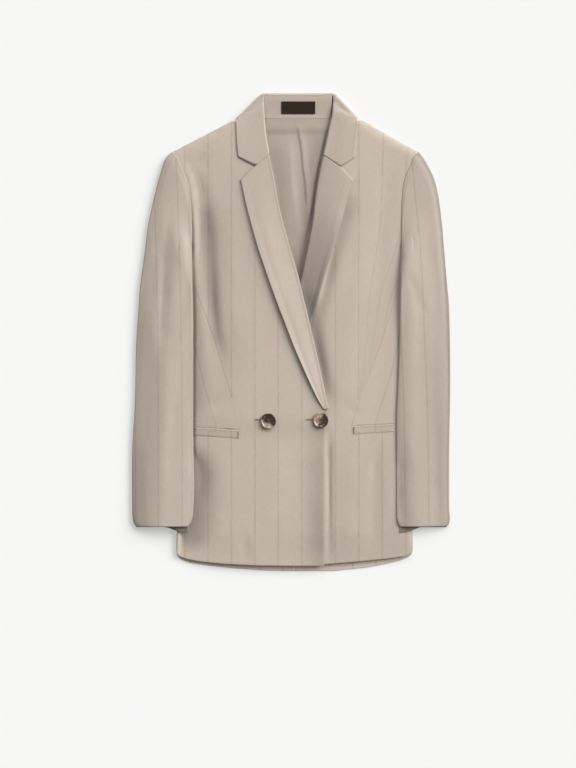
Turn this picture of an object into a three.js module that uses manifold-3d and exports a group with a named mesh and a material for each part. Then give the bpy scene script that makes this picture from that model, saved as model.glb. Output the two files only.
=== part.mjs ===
import * as THREE from "three";
import Module from "manifold-3d";

// A double breasted blazer laid on its back, front up. Millimetres, +Z up, +Y towards the collar.
// Sides are the wearer's: the right front lies over the left front, on the side of -X.

const GRID = 1.55; // side of one square of the pattern grid
const DATUM = { x: 291.03, y: 332.26 }; // pattern square at the origin; pattern x runs right, y runs down
const CLOTH = 1.5; // wall of each cloth piece
const SEAM = 0.3; // gap between two pieces at a seam
const FLOOR = CLOTH / 2; // middle of a cloth wall that lies on the table
const SIDE_TOP = 8.2; // middle of the front wall next to the side seam
const SIDE_MID = 4.5; // height of the side seam
const SIDE_ROUND = 8; // width over which the body rounds down to the side seam
const LAYER = 2.2; // from the middle of one cloth wall to the next one lying on it
const ROLL = 2; // depth of the rolled edge of a lapel or collar
const UNDERARM = 250; // pattern y of the underarm point
const SHOULDER_MID = 3; // height of the shoulder seam
const SHOULDER_ROUND = 14;
const NECK_LIFT = 2; // the back is lifted by the collar leaf beneath it
const SLEEVE_HEIGHT = 7;
const SLEEVE_ROUND = 12;
const TIP = 0.5; // from the height of a folded seam to the end of each wall's middle
// holeAt is the distance of each hole from the middle, across and up.
const BUTTON = { radius: 12, thick: 3.4, rim: 1.9, hole: 1.1, holeAt: 1.714, sides: 24, holeSides: 6 };

const COLOUR = { cloth: "#b9ab9a", inside: "#b0a291", label: "#33281f", button: "#3a2a20" };

// Pattern lines: y, x of the right side (-X), x of the left side (+X).
const SIDE_LINE = [
  [152, 173.5, 417], [158, 177, 414], [166, 180.3, 411], [175, 184, 406.8],
  [185, 187.6, 404], [205, 190.5, 402.3], [222, 191.2, 402], [240, 191.2, 402.6],
  [250, 190.8, 402.8], [262, 188, 405], [275, 184.8, 408], [290, 183, 409.5],
  [330, 183.5, 408.5], [380, 185, 405.5], [420, 184, 406], [470, 180.5, 409],
  [520, 177.5, 412], [556, 176, 413],
];
const SLEEVE_OUTER = [
  [152, 172.8, 417.7], [155, 169.3, 420.4], [160, 165.5, 424], [166, 163.3, 427.5], [172, 161.4, 430.6],
  [178, 159.5, 433.2], [190, 156.4, 436.6], [202, 153.5, 438.7], [226, 148.5, 441.6],
  [250, 145.5, 443.6], [286, 140.6, 446.8], [304, 139.3, 448.4], [346, 136.6, 449.5],
  [400, 135.5, 449.5], [448, 132.8, 448.6], [508, 132.6, 448.6], [520, 133.2, 449.4],
  [526, 134.6, 448.6],
];
const SLEEVE_INNER = [
  [250, 190.8, 402.8], [272, 191.9, 400.6], [318, 194, 398.4], [352, 194, 397.6],
  [385, 194, 396], [418, 194.6, 394.6], [452, 195, 395], [485, 195.6, 395.6],
  [508, 194.6, 396.2], [520, 192.6, 397], [526, 188.6, 399.6],
];
// Roll line, then front edge below the lapel: y, x.
const EDGE_RIGHT = [
  [119, 264.2], [140, 266.6], [160, 269.8], [175, 273], [190, 275.8], [205, 278.3],
  [220, 281.8], [235, 286], [250, 290], [265, 294.6], [280, 298.8], [295, 302.2],
  [310, 306], [325, 309.5], [340, 313], [355, 316.4], [370, 319.8], [385, 323],
  [400, 326], [412, 328.3], [424, 325.2], [440, 324.2], [566, 324],
];
const EDGE_LEFT = [
  [119, 329.4], [131, 326.8], [154, 322], [173, 317.8], [200, 313], [220, 310.6],
  [237, 307.7], [256, 304], [278, 300], [300, 294.5], [330, 286.5], [365, 275.5],
  [398, 264.5], [412, 260.5], [424, 261.5], [440, 262], [566, 263],
];
// Free edge of each lapel: y, x.
const LAPEL_RIGHT = [
  [181, 241], [190, 243], [205, 246], [220, 250], [235, 254], [250, 258.5], [265, 263.5],
  [280, 268.6], [295, 274], [310, 279.5], [325, 285.4], [340, 291], [355, 297.2],
  [370, 303.8], [385, 310.6], [400, 318], [409, 323.6],
];
const LAPEL_LEFT = [
  [181, 352.5], [190, 350], [205, 345.8], [220, 341.5], [235, 337], [250, 332.6],
  [265, 328], [280, 323.4], [295, 319.2], [310, 315], [335, 307], [365, 294], [390, 279],
  [409, 267.5],
];
const LAPEL_END = 409;
// Top line of each gorge: notch, roll line.
const GORGE = {
  right: { notch: [256.4, 167], roll: [269.3, 156] },
  left: { notch: [340, 168], roll: [321.4, 156.6] },
};
// Hem of each front and of the back, from the front edge or centre back outwards: x, y.
const HEM_FRONT_RIGHT = [
  [324, 565.5], [290, 565.5], [255, 565], [225, 563.5], [200, 561.2],
  [187, 558.9], [180, 556.4], [176.9, 554.2], [176, 551.5],
];
const HEM_FRONT_LEFT = [
  [263, 565.5], [324, 564], [345, 562.4], [366, 560.5], [390, 558],
  [404, 555.9], [409.5, 554], [412.2, 551.8], [413, 549],
];
const HEM_BACK_RIGHT = [
  [294.4, 571], [265, 570.4], [231, 568], [207, 565.4], [190, 562.8],
  [181.5, 559.6], [177.4, 556], [176, 551.5],
];
const HEM_BACK_LEFT = [
  [294.4, 571], [335, 570.6], [366, 567.4], [386, 563.8], [400, 560.4],
  [408, 557.4], [411.8, 553.8], [413, 549],
];
const CENTRE_BACK = 294.4;
const NECK_SEAM = 118;
const SHOULDER = {
  right: { neck: [237, 119], point: [173.5, 152] },
  left: { neck: [357, 119], point: [417, 152] },
};
const POCKET_RIGHT = { top: [[194.8, 427.9], [239, 430.6]], bottom: [[194.8, 435.3], [239, 438.2]] };
const POCKET_LEFT = { top: [[353.6, 426.6], [394.6, 424.7]], bottom: [[353.6, 434.2], [394.6, 431.7]] };
const LABEL = { left: 281.4, right: 315.2, top: 102.2, bottom: 114.5, thick: 0.8 };
const BUTTON_AT = { outer: [268.4, 420.9], inner: [320.5, 420] };

const lerp = THREE.MathUtils.lerp;
const steps = (n) => Array.from({ length: n + 1 }, (_, i) => i / n);
const clamp = THREE.MathUtils.clamp;
const smooth = (a, b, x) => {
  const t = clamp((x - a) / (b - a), 0, 1);
  return t * t * (3 - 2 * t);
};
const round = (q) => Math.sqrt(1 - (1 - clamp(q, 0, 1)) ** 2);
const px = (x) => (x - DATUM.x) * GRID;
const py = (y) => (DATUM.y - y) * GRID;
const patternY = (y) => DATUM.y - y / GRID;

// Value of a column of a table at a key, smooth through the rows.
function tableAt(table, key, column = 1) {
  const last = table.length - 1;
  const rising = table[last][0] > table[0][0] ? 1 : -1;
  let i = table.findIndex((row) => (row[0] - key) * rising >= 0);
  if (i === 0) return table[0][column];
  if (i < 0) return table[last][column];
  const slope = (k) => {
    const a = table[Math.max(k - 1, 0)];
    const b = table[Math.min(k + 1, last)];
    return (b[column] - a[column]) / (b[0] - a[0]);
  };
  const a = table[i - 1];
  const b = table[i];
  const h = b[0] - a[0];
  const t = (key - a[0]) / h;
  const s = 1 - t;
  return (
    a[column] * (1 + 2 * t) * s * s + b[column] * (3 - 2 * t) * t * t +
    h * slope(i - 1) * t * s * s - h * slope(i) * t * t * s
  );
}

// Point of a line of pattern points at a share of its length.
function along(points, share) {
  const lengths = points.slice(1).map((p, i) => Math.hypot(p[0] - points[i][0], p[1] - points[i][1]));
  const total = lengths.reduce((a, b) => a + b, 0);
  let rest = clamp(share, 0, 1) * total;
  let i = 0;
  while (i < lengths.length - 1 && rest > lengths[i]) rest -= lengths[i++];
  const t = rest / lengths[i];
  return points[i].map((c, k) => lerp(c, points[i + 1][k], t));
}

const sideColumn = (side) => (side === "right" ? 1 : 2);
const outward = (side) => (side === "right" ? -1 : 1);

// Distance in from the side line of the body, in millimetres.
function inFromSide(side, x, y) {
  return (px(tableAt(SIDE_LINE, patternY(y), sideColumn(side))) - x) * outward(side);
}

// Distance down from the shoulder line, which is continued past the neck.
function belowShoulder(side, x, y) {
  const { neck, point } = SHOULDER[side];
  const run = px(neck[0]) - px(point[0]);
  const rise = py(neck[1]) - py(point[1]);
  const lineY = py(point[1]) + ((x - px(point[0])) * rise) / run;
  return ((lineY - y) * Math.abs(run)) / Math.hypot(run, rise);
}

const nearNeck = (y) => smooth(py(136), py(128), y);
const belowUnderarm = (y) => 1 - smooth(0, 15, y - py(UNDERARM));
// Rise of the chest and belly over the side: y, millimetres.
const CHEST = [
  [py(566), 1.2], [py(480), 2.2], [py(400), 3], [py(300), 4.2], [py(220), 4.5], [py(160), 3], [py(119), 1],
];

// Middle of the front wall before one front is laid over the other.
function frontHeight(side, x, y) {
  const inside = inFromSide(side, x, y);
  const crown = tableAt(CHEST, y) * smooth(0, 110, inside);
  const top = SIDE_TOP + crown;
  const seamed = lerp(top, SIDE_MID + TIP, belowUnderarm(y) * (1 - round(inside / SIDE_ROUND)));
  const shoulderSeam = SHOULDER_MID + NECK_LIFT * nearNeck(y) + TIP;
  return lerp(shoulderSeam, seamed, round(belowShoulder(side, x, y) / SHOULDER_ROUND));
}

// Rise of the right front where it lies over the left front and its lapel.
function overlapLift(x, y) {
  const reach = x - px(tableAt(EDGE_LEFT, patternY(y)));
  const layers = 1.05 + smooth(440, 415, patternY(y));
  return LAYER * layers * smooth(-30, -2, reach);
}

function frontSurface(side, x, y) {
  return frontHeight(side, x, y) + (side === "right" ? overlapLift(x, y) : 0);
}

function backSurface(side, x, y) {
  const flat = FLOOR + NECK_LIFT * nearNeck(y);
  const inside = inFromSide(side, x, y);
  const seamed = lerp(flat, SIDE_MID - TIP, belowUnderarm(y) * (1 - round(inside / SIDE_ROUND)));
  const shoulderSeam = SHOULDER_MID + NECK_LIFT * nearNeck(y) - TIP;
  return lerp(shoulderSeam, seamed, round(belowShoulder(side, x, y) / SHOULDER_ROUND));
}

// A closed wall about a grid of middle points, rows by columns.
function wall(name, rows, { colour = COLOUR.cloth, rough = 0.9, thick = CLOTH } = {}) {
  const nr = rows.length;
  const nc = rows[0].length;
  const at = (i, j) => new THREE.Vector3(...rows[clamp(i, 0, nr - 1)][clamp(j, 0, nc - 1)]);
  const normals = rows.map((row, i) => row.map((_, j) => {
    const across = at(i, j + 1).sub(at(i, j - 1));
    const upward = at(i + 1, j).sub(at(i - 1, j));
    return across.cross(upward).normalize();
  }));
  const position = [];
  for (const side of [1, -1]) {
    for (let i = 0; i < nr; i++) {
      for (let j = 0; j < nc; j++) {
        const p = at(i, j).addScaledVector(normals[i][j], (side * thick) / 2);
        position.push(p.x, p.y, p.z);
      }
    }
  }
  const id = (side, i, j) => side * nr * nc + i * nc + j;
  const index = [];
  const quad = (a, b, c, d) => index.push(a, b, c, a, c, d);
  for (let i = 0; i < nr - 1; i++) {
    for (let j = 0; j < nc - 1; j++) {
      quad(id(0, i, j), id(0, i, j + 1), id(0, i + 1, j + 1), id(0, i + 1, j));
      quad(id(1, i, j), id(1, i + 1, j), id(1, i + 1, j + 1), id(1, i, j + 1));
    }
  }
  for (let j = 0; j < nc - 1; j++) {
    quad(id(1, 0, j), id(1, 0, j + 1), id(0, 0, j + 1), id(0, 0, j));
    quad(id(0, nr - 1, j), id(0, nr - 1, j + 1), id(1, nr - 1, j + 1), id(1, nr - 1, j));
  }
  for (let i = 0; i < nr - 1; i++) {
    quad(id(0, i, 0), id(0, i + 1, 0), id(1, i + 1, 0), id(1, i, 0));
    quad(id(1, i, nc - 1), id(1, i + 1, nc - 1), id(0, i + 1, nc - 1), id(0, i, nc - 1));
  }
  const geometry = new THREE.BufferGeometry();
  geometry.setAttribute("position", new THREE.Float32BufferAttribute(position, 3));
  geometry.setIndex(index);
  return piece(name, geometry, colour, rough);
}

function piece(name, geometry, colour, rough) {
  geometry.computeVertexNormals();
  const material = new THREE.MeshStandardMaterial({ color: colour, roughness: rough, metalness: 0 });
  const mesh = new THREE.Mesh(geometry, material);
  mesh.name = name;
  return mesh;
}

// Rows of middle points of a patch: place(u, v) is a pattern point, height(x, y, u, v) is in millimetres.
// A patch drawn from +X to -X is turned round, so that its normals still point up.
function patch(us, vs, place, height, turned = false) {
  return vs.map((v) => {
    const row = us.map((u) => {
      const [gx, gy] = place(u, v);
      const x = px(gx);
      const y = py(gy);
      return [x, y, height(x, y, u, v)];
    });
    return turned ? row.reverse() : row;
  });
}

// A patch between four lines: inner(v) and outer(v) at its sides, bottom(u) and top(u) at its ends.
function between({ inner, outer, bottom, top }) {
  const corner = [inner(0), outer(0), inner(1), outer(1)];
  return (u, v) =>
    [0, 1].map((k) =>
      lerp(inner(v)[k], outer(v)[k], u) + lerp(bottom(u)[k], top(u)[k], v) -
      lerp(lerp(corner[0][k], corner[1][k], u), lerp(corner[2][k], corner[3][k], u), v));
}

const SIDE_STEPS = [0.95, 0.974, 0.988, 0.996, 1];
const frontColumns = [
  0, 0.035, 0.07, 0.11, 0.16, 0.22, 0.28, 0.34, 0.4, 0.46, 0.53, 0.6, 0.68, 0.77, 0.86, ...SIDE_STEPS,
];
const backColumns = [0, 0.12, 0.24, 0.36, 0.48, 0.6, 0.72, 0.84, 0.91, ...SIDE_STEPS];
const UNDERARM_SHARE = 0.66;
const TOP_ROWS = [0.7, 0.74, 0.79, 0.84, 0.89, 0.93, 0.96, 0.98, 0.992, 0.998, 1];
const frontRows = [...steps(12).map((t) => t * UNDERARM_SHARE), ...TOP_ROWS];
const backRows = [...steps(6).map((t) => t * UNDERARM_SHARE), ...TOP_ROWS];

// Pattern y along a side of the body panels, from the hem at 0 over the underarm to the top at 1.
function sideY(v, hem, top) {
  if (v < UNDERARM_SHARE) return lerp(hem, UNDERARM, v / UNDERARM_SHARE);
  return lerp(UNDERARM, top, (v - UNDERARM_SHARE) / (1 - UNDERARM_SHARE));
}

function bodyPanel(name, side, { edge, inset, hem, top, surface, columns, rows }) {
  const out = outward(side);
  const outer = (v) => {
    const y = sideY(v, hem[hem.length - 1][1], SHOULDER[side].point[1]);
    return [tableAt(SIDE_LINE, y, sideColumn(side)) - (out * SEAM) / GRID, y];
  };
  const inner = (v) => {
    const y = sideY(v, hem[0][1], top[0][1]);
    return [edge(y) + (out * inset(y)) / GRID, y];
  };
  const fit = (line) => (u) => along(line, u);
  const bottomLine = hem.map((p) => [...p]);
  bottomLine[0] = inner(0);
  bottomLine[bottomLine.length - 1] = outer(0);
  const topLine = top.map((p) => [...p]);
  topLine[0] = inner(1);
  topLine[topLine.length - 1] = outer(1);
  const place = between({ inner, outer, bottom: fit(bottomLine), top: fit(topLine) });
  return wall(name, patch(columns, rows, place, (x, y) => surface(side, x, y), side === "right"));
}

// A front stops short of its roll line, where the lapel's rolled edge begins.
const rollInset = (y) => (ROLL + SEAM + 0.2) * smooth(LAPEL_END + 4, LAPEL_END - 1, y);

const NECK_RIGHT = [[243, 121.4], [231.5, 122.2], SHOULDER.right.point];
const NECK_LEFT = [[349.5, 121.8], [362.6, 122.2], SHOULDER.left.point];
const front = { inset: rollInset, surface: frontSurface, columns: frontColumns, rows: frontRows };
const back = {
  edge: () => CENTRE_BACK, inset: () => SEAM / 2, surface: backSurface, columns: backColumns, rows: backRows,
};
const frontRight = bodyPanel("front_right", "right", {
  ...front, edge: (y) => tableAt(EDGE_RIGHT, y), hem: HEM_FRONT_RIGHT,
  top: [[264.2, 119], ...NECK_RIGHT],
});
const frontLeft = bodyPanel("front_left", "left", {
  ...front, edge: (y) => tableAt(EDGE_LEFT, y), hem: HEM_FRONT_LEFT, top: [[329.4, 119], ...NECK_LEFT],
});
const backRight = bodyPanel("back_right", "right", {
  ...back, hem: HEM_BACK_RIGHT, top: [[CENTRE_BACK, NECK_SEAM], [262, NECK_SEAM], ...NECK_RIGHT],
});
const backLeft = bodyPanel("back_left", "left", {
  ...back, hem: HEM_BACK_LEFT, top: [[CENTRE_BACK, NECK_SEAM], [330, NECK_SEAM], ...NECK_LEFT],
});

// Sleeves: a tube whose upper and under piece meet along the folds.
const FOLD_STEPS = [0, 0.004, 0.018, 0.045];
const foldedColumns = (middle) => [...FOLD_STEPS, ...middle, ...FOLD_STEPS.map((u) => 1 - u).reverse()];
const upperColumns = foldedColumns([0.09, 0.16, 0.26, 0.38, 0.5, 0.64, 0.78, 0.9]);
const underColumns = foldedColumns([0.08, 0.12, 0.155, 0.19, 0.23, 0.275, 0.33, 0.48, 0.64, 0.8, 0.91]);
const sleeveRows = [0, 0.015, 0.035, 0.06, 0.09, 0.13, 0.19, 0.28, 0.39, 0.51, 0.64, 0.77, 0.9, 1];
const CUFF = { y: 526, inner: 0, outer: 0 }; // edge of the cuff and how far it drops at each fold
const UNDER_CUFF = { y: 526, inner: 8, outer: 1 };
const LAP = 1.5; // the upper sleeve lies this far over the armhole edge of the front
const OVER_BODY = SIDE_TOP + CLOTH + SEAM + 0.2;
// Distances in from the side line between which a sleeve comes down from the body to the table.
const SLEEVE_FALL = { right: [-66, -18], left: [-46, 6] };
// Heights above the underarm between which a sleeve, and its under piece, comes down beside the body.
const UPPER_RISE = [-6, 92];
const UNDER_RISE = [8, 30];

function sleevePlace(side, lap, cuff) {
  const c = sideColumn(side);
  const shift = (-outward(side) * lap) / GRID;
  const inner = (v) => {
    const y = lerp(UNDERARM, cuff.y + cuff.inner, v);
    return [tableAt(SLEEVE_INNER, y, c), y];
  };
  const outer = (v) => {
    const y = lerp(SHOULDER[side].point[1], cuff.y + cuff.outer, v);
    return [tableAt(SLEEVE_OUTER, y, c), y];
  };
  const top = (u) => {
    const y = lerp(UNDERARM, SHOULDER[side].point[1], u);
    const seam = tableAt(SIDE_LINE, y, c) + shift * smooth(0, 0.012, u) * smooth(1, 0.92, u);
    return [lerp(seam, outer(0)[0], smooth(0.97, 1, u)), y];
  };
  const bottom = (u) => [0, 1].map((k) => lerp(inner(1)[k], outer(1)[k], u));
  return between({ inner, outer, bottom: top, top: bottom });
}

function sleeveHeight(side, upper) {
  const place = sleevePlace(side, 0, CUFF);
  return (x, y, u, v) => {
    const a = place(0, v);
    const b = place(1, v);
    const width = Math.hypot(a[0] - b[0], a[1] - b[1]) * GRID;
    const edge = round((Math.min(u, 1 - u) * width) / SLEEVE_ROUND);
    const inside = inFromSide(side, x, y);
    const aboveUnderarm = y - py(UNDERARM);
    const rise = (OVER_BODY - FLOOR) * (1 - smooth(...(upper ? UPPER_RISE : UNDER_RISE), aboveUnderarm));
    const half = SLEEVE_HEIGHT / 2;
    const innerFold = OVER_BODY + lerp(1, half, smooth(0, 0.12, v));
    const fold = u < 0.5 ? innerFold : FLOOR + half;
    if (!upper) {
      const base = FLOOR + rise * smooth(-13, -1, inside);
      return lerp(fold - TIP, base, edge);
    }
    const full = SLEEVE_HEIGHT + 1.5 * smooth(0.5, 0, v);
    const tube = FLOOR + rise * smooth(...SLEEVE_FALL[side], inside) + full;
    const atFold = 1 - smooth(0, 25, aboveUnderarm);
    const steep = 2.7 * (1 - round(belowShoulder(side, x, y) / SHOULDER_ROUND));
    const seam = lerp(frontHeight(side, x, y) + CLOTH + SEAM + 0.1 + steep, fold + TIP, atFold);
    return lerp(fold + TIP, lerp(seam, tube, smooth(0, 0.1, v)), edge);
  };
}

function sleevePiece(name, side, upper) {
  const place = sleevePlace(side, upper ? LAP : -2 * SEAM, upper ? CUFF : UNDER_CUFF);
  const columns = upper ? upperColumns : underColumns;
  const rows = patch(columns, sleeveRows, place, sleeveHeight(side, upper), side === "left");
  return wall(name, rows);
}

// Rows run from the armhole down here, so the upper face needs the opposite turn.
const sleeves = ["right", "left"].flatMap((side) => [
  sleevePiece(`sleeve_${side}_upper`, side, true),
  sleevePiece(`sleeve_${side}_under`, side, false),
]);

// Lapels: a rolled edge along the roll line, then the flap over the front.
const rollSteps = [
  { out: ROLL, up: 0.02 }, { out: 0.7, up: 0.15 }, { out: 0, up: 0.5 }, { out: 0.7, up: 0.85 }, { out: ROLL, up: 1 },
];
const lapelShares = [0.15, 0.4, 0.7, 1];

function lapel(name, side, edgeTable, freeTable) {
  const out = outward(side);
  const { notch, roll } = GORGE[side];
  const topLine = [roll, notch, [freeTable[0][1], freeTable[0][0]]];
  const rows = steps(20).map((v) => {
    const last = v > 0.999;
    const rollY = lerp(LAPEL_END, roll[1], v);
    const freeY = lerp(LAPEL_END, freeTable[0][0], v);
    const from = [tableAt(edgeTable, rollY), rollY];
    const to = [tableAt(freeTable, freeY), freeY];
    const gap = Math.hypot(to[0] - from[0], to[1] - from[1]) * GRID;
    const level = (x, y) => frontSurface(side, x, y);
    const rolled = rollSteps.map(({ out: d, up }) => {
      const share = Math.min(d, gap * 0.45) / gap;
      const x = px(lerp(from[0], to[0], share));
      const y = py(lerp(from[1], to[1], share));
      return [x, y, level(x, y) + LAYER * up];
    });
    const flap = lapelShares.map((s) => {
      const share = lerp(Math.min(ROLL, gap * 0.45) / gap, 1, s);
      const straight = [lerp(from[0], to[0], share), lerp(from[1], to[1], share)];
      const bent = along(topLine, share);
      const w = smooth(0.85, 1, v);
      const x = px(lerp(straight[0], bent[0], w));
      const y = py(lerp(straight[1], bent[1], w) + (last ? SEAM / GRID : 0));
      return [x, y, level(x, y) + LAYER];
    });
    const row = [...rolled, ...flap];
    return out < 0 ? row.reverse() : row;
  });
  return wall(name, rows);
}

const lapelRight = lapel("lapel_right", "right", EDGE_RIGHT, LAPEL_RIGHT);
const lapelLeft = lapel("lapel_left", "left", EDGE_LEFT, LAPEL_LEFT);

// Collar leaf: sections from the roll line to the free edge. Beyond the neck the leaf turns under the
// back. Columns: roll point, free edge, point of the outline where it turns under (none on the shoulder).
const TOP_FOLD = 94;
const LEAF_BACK = 125;
const collarTable = {
  right: [
    { roll: [269, 154.8], free: [238.2, 157.2], bend: [256.2, 165.8] },
    { roll: [268, 148], free: [237.6, 152], bend: [253, 154.5] },
    { roll: [266.6, 140], free: [237, 145], gather: 0.3 },
    { roll: [265.4, 130], free: [236.6, 136], gather: 0.7 },
    { roll: [264.6, 121], free: [236.4, 127], gather: 1 },
    { roll: [264.4, 117.8], free: [236.3, 121.2], gather: 1 },
    { roll: [264.2, 114.5], free: [237.6, 120.8], turn: [236.7, 118.9] },
    { roll: [264.1, 111.5], free: [241, 122.8], turn: [239.3, 116.2] },
    { roll: [264, 108], free: [245, 124], turn: [242.5, 113.5] },
    { roll: [263.8, 103], free: [252, 125], turn: [249.5, 106.5] },
    { roll: [263.9, 99], free: [259, 125], turn: [256.5, 99.6] },
    { roll: [265, 96.4], free: [266, 125], turn: [263, 94.2] },
  ],
  left: [
    { roll: [321.8, 155.2], free: [354.8, 158], bend: [340.4, 166.6] },
    { roll: [323.2, 148.6], free: [355.2, 152], bend: [340.5, 155] },
    { roll: [324.9, 140], free: [355.6, 145], gather: 0.3 },
    { roll: [327, 130], free: [356, 136], gather: 0.7 },
    { roll: [329, 121], free: [356.6, 127], gather: 1 },
    { roll: [329.8, 117.8], free: [357.2, 121.2], gather: 1 },
    { roll: [330.4, 114.5], free: [356, 120.8], turn: [357.1, 118.6] },
    { roll: [330.8, 111.5], free: [352.4, 122.8], turn: [354.6, 115.3] },
    { roll: [331.2, 108], free: [348.5, 124], turn: [351.3, 111.9] },
    { roll: [331.9, 103], free: [341.5, 125], turn: [345.4, 105.6] },
    { roll: [332.2, 99], free: [336, 125], turn: [339.6, 99.4] },
    { roll: [331.4, 96.4], free: [329.6, 125], turn: [333.6, 94.2] },
  ],
};
const TURN_RADIUS = 3.2;
const LEAF_LAYER = LAYER + 0.25;
// Distances from the free edge of the last points of a section that is about to turn under.
const GATHERED = [3.6, 2.6, 1.9, 1.3, 0.8, 0.4, 0];

// Pattern point d millimetres from p towards q.
function toward(p, q, d) {
  const share = d / GRID / Math.hypot(q[0] - p[0], q[1] - p[1]);
  return [lerp(p[0], q[0], share), lerp(p[1], q[1], share)];
}

// Each section has the rolled edge, three points on top and seven points of the tail.
function leafSection(side, { roll, free, turn, bend, gather = 0 }) {
  const level = (p) => frontSurface(side, px(p[0]), py(p[1]));
  const first = turn || bend || free;
  const start = level(roll);
  const rolled = rollSteps.map(({ out, up }) => [...toward(roll, first, out), start + LEAF_LAYER * up]);
  const rollEnd = toward(roll, first, ROLL);
  if (!turn) {
    const line = [rollEnd, ...(bend ? [bend] : []), free];
    const width = Math.hypot(free[0] - rollEnd[0], free[1] - rollEnd[1]) * GRID;
    const gathered = [0.25, 0.5, 0.75, ...GATHERED.map((d) => 1 - d / width)];
    return [...rolled, ...gathered.map((g, k) => {
      const p = along(line, lerp((k + 1) / gathered.length, g, gather));
      return [...p, level(p) + LEAF_LAYER];
    })];
  }
  const shoulder = toward(turn, roll, TURN_RADIUS);
  const height = 2 * TURN_RADIUS + FLOOR;
  const onTop = [0.25, 0.5, 0.75].map((s) => {
    const p = along([rollEnd, shoulder], s);
    return [...p, Math.max(level(p) + LEAF_LAYER, height)];
  });
  const under = toward(turn, free, TURN_RADIUS);
  return [
    ...rolled, ...onTop,
    [...shoulder, Math.max(level(shoulder) + LEAF_LAYER - 0.3, height)],
    [...toward(turn, roll, TURN_RADIUS * 0.3), FLOOR + TURN_RADIUS * 1.7],
    [...turn, FLOOR + TURN_RADIUS],
    [...toward(turn, free, TURN_RADIUS * 0.3), FLOOR + TURN_RADIUS * 0.3],
    [...under, FLOOR],
    [...along([under, free], 0.5), FLOOR],
    [...free, FLOOR],
  ];
}

// Across the back of the neck the leaf turns over the top fold: steps down from it, heights.
const NECK_TURN = [
  [2.4, 8.3], [2, 8.3], [1.6, 8.22], [1.2, 8.05], [0.9, 7.8], [0.62, 7.4], [0.4, 6.9], [0.2, 6.2],
  [0.08, 5.4], [0, 4.4], [0.12, 3], [0.6, 1.7], [1.8, 0.9],
];
function neckSection(x) {
  return [
    ...NECK_TURN.map(([down, z]) => [x, TOP_FOLD + down, z]),
    [x, TOP_FOLD + 12, FLOOR], [x, LEAF_BACK, FLOOR],
  ];
}

const toMillimetres = (section) => section.map(([gx, gy, z]) => [px(gx), py(gy), z]);
const leafSections = [
  ...collarTable.right.map((row) => leafSection("right", row)),
  ...[272, 284, 297, 310, 322].map(neckSection),
  ...collarTable.left.map((row) => leafSection("left", row)).reverse(),
];
const collarFall = wall("collar_fall", leafSections.map(toMillimetres).reverse());

// Collar stand: the inside band of the neck, from its seam up to the top fold.
const STAND = { top: 96.7, bottom: 118.2, left: [265.5, 265.7], right: [328.7, 330.3] };
const standPlace = (u, v) => [
  lerp(lerp(...STAND.left, v), lerp(...STAND.right, v), u),
  lerp(STAND.bottom, STAND.top, v),
];
const standHeight = (x, y) => lerp(4.85, 8.2, smooth(py(NECK_SEAM), py(97), y));
const stand = wall("collar_stand", patch(steps(8), steps(5), standPlace, standHeight));

// Inside of the back, seen in the V, with its centre pleat.
const PLEAT = [
  [118, 296], [132, 299], [150, 302], [168, 303.6], [181, 305.5], [200, 307], [218, 307.3], [300, 306],
];
const INNER_BACK = [
  [118.4, 266, 328], [124, 262, 333], [134, 256, 338], [160, 256, 336], [220, 262, 330], [300, 272, 326],
];
const innerPlace = (u, v) => {
  const y = lerp(118.4, 300, v);
  return [lerp(tableAt(INNER_BACK, y, 1), tableAt(INNER_BACK, y, 2), u), y];
};
const innerHeight = (x, y) => {
  const off = x - px(tableAt(PLEAT, patternY(y)));
  const pleat = 1.1 * Math.exp(-((off / 3.2) ** 2)) * smooth(py(226), py(190), y);
  return FLOOR + CLOTH + SEAM + 0.2 + NECK_LIFT * nearNeck(y) + pleat;
};
const innerColumns = [0, 0.2, 0.4, 0.48, 0.52, 0.56, 0.6, 0.64, 0.68, 0.76, 0.88, 1];
const innerRows = patch(innerColumns, steps(14), innerPlace, innerHeight, true);
const innerBack = wall("inner_back", innerRows, { colour: COLOUR.inside });

// Welt pockets and the neck label follow the surface beneath them.
function welt(name, side, { top, bottom }) {
  const across = (line, u) => [0, 1].map((k) => lerp(line[0][k], line[1][k], u));
  const place = (u, v) => [0, 1].map((k) => lerp(across(bottom, u)[k], across(top, u)[k], v));
  const height = (x, y) => frontSurface(side, x, y) + CLOTH + SEAM;
  return wall(name, patch(steps(12), steps(2), place, height));
}
const pocketRight = welt("pocket_right", "right", POCKET_RIGHT);
const pocketLeft = welt("pocket_left", "left", POCKET_LEFT);
const labelPlace = (u, v) => [lerp(LABEL.left, LABEL.right, u), lerp(LABEL.bottom, LABEL.top, v)];
const labelHeight = (x, y) => standHeight(x, y) + CLOTH / 2 + SEAM + LABEL.thick / 2;
const label = wall("neck_label", patch(steps(4), steps(3), labelPlace, labelHeight), {
  colour: COLOUR.label, thick: LABEL.thick, rough: 0.7,
});

// Four-hole buttons with a raised rim.
const wasm = await Module();
wasm.setup();

function buttonGeometry() {
  const { radius, thick, rim, hole, holeAt, sides, holeSides } = BUTTON;
  const profile = [
    [0, 0], [radius - 1.6, 0], [radius - 0.4, 0.6], [radius, 1.6], [radius - 0.3, thick - 0.5],
    [radius - rim * 0.6, thick], [radius - rim * 1.3, thick - 0.4],
    [radius - rim * 2.2, thick - 1.1], [0, thick - 1.3],
  ];
  const disc = wasm.Manifold.revolve([profile], sides);
  const drill = wasm.Manifold.cylinder(thick * 3, hole, hole, holeSides, true);
  const spots = [[1, 1], [1, -1], [-1, 1], [-1, -1]].map(([a, b]) => [a * holeAt, b * holeAt, 0]);
  const cut = spots.reduce((solid, at) => solid.subtract(drill.translate(at)), disc);
  const mesh = cut.getMesh();
  const geometry = new THREE.BufferGeometry();
  geometry.setAttribute("position", new THREE.Float32BufferAttribute(mesh.vertProperties, 3));
  geometry.setIndex([...mesh.triVerts]);
  return geometry;
}

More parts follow.
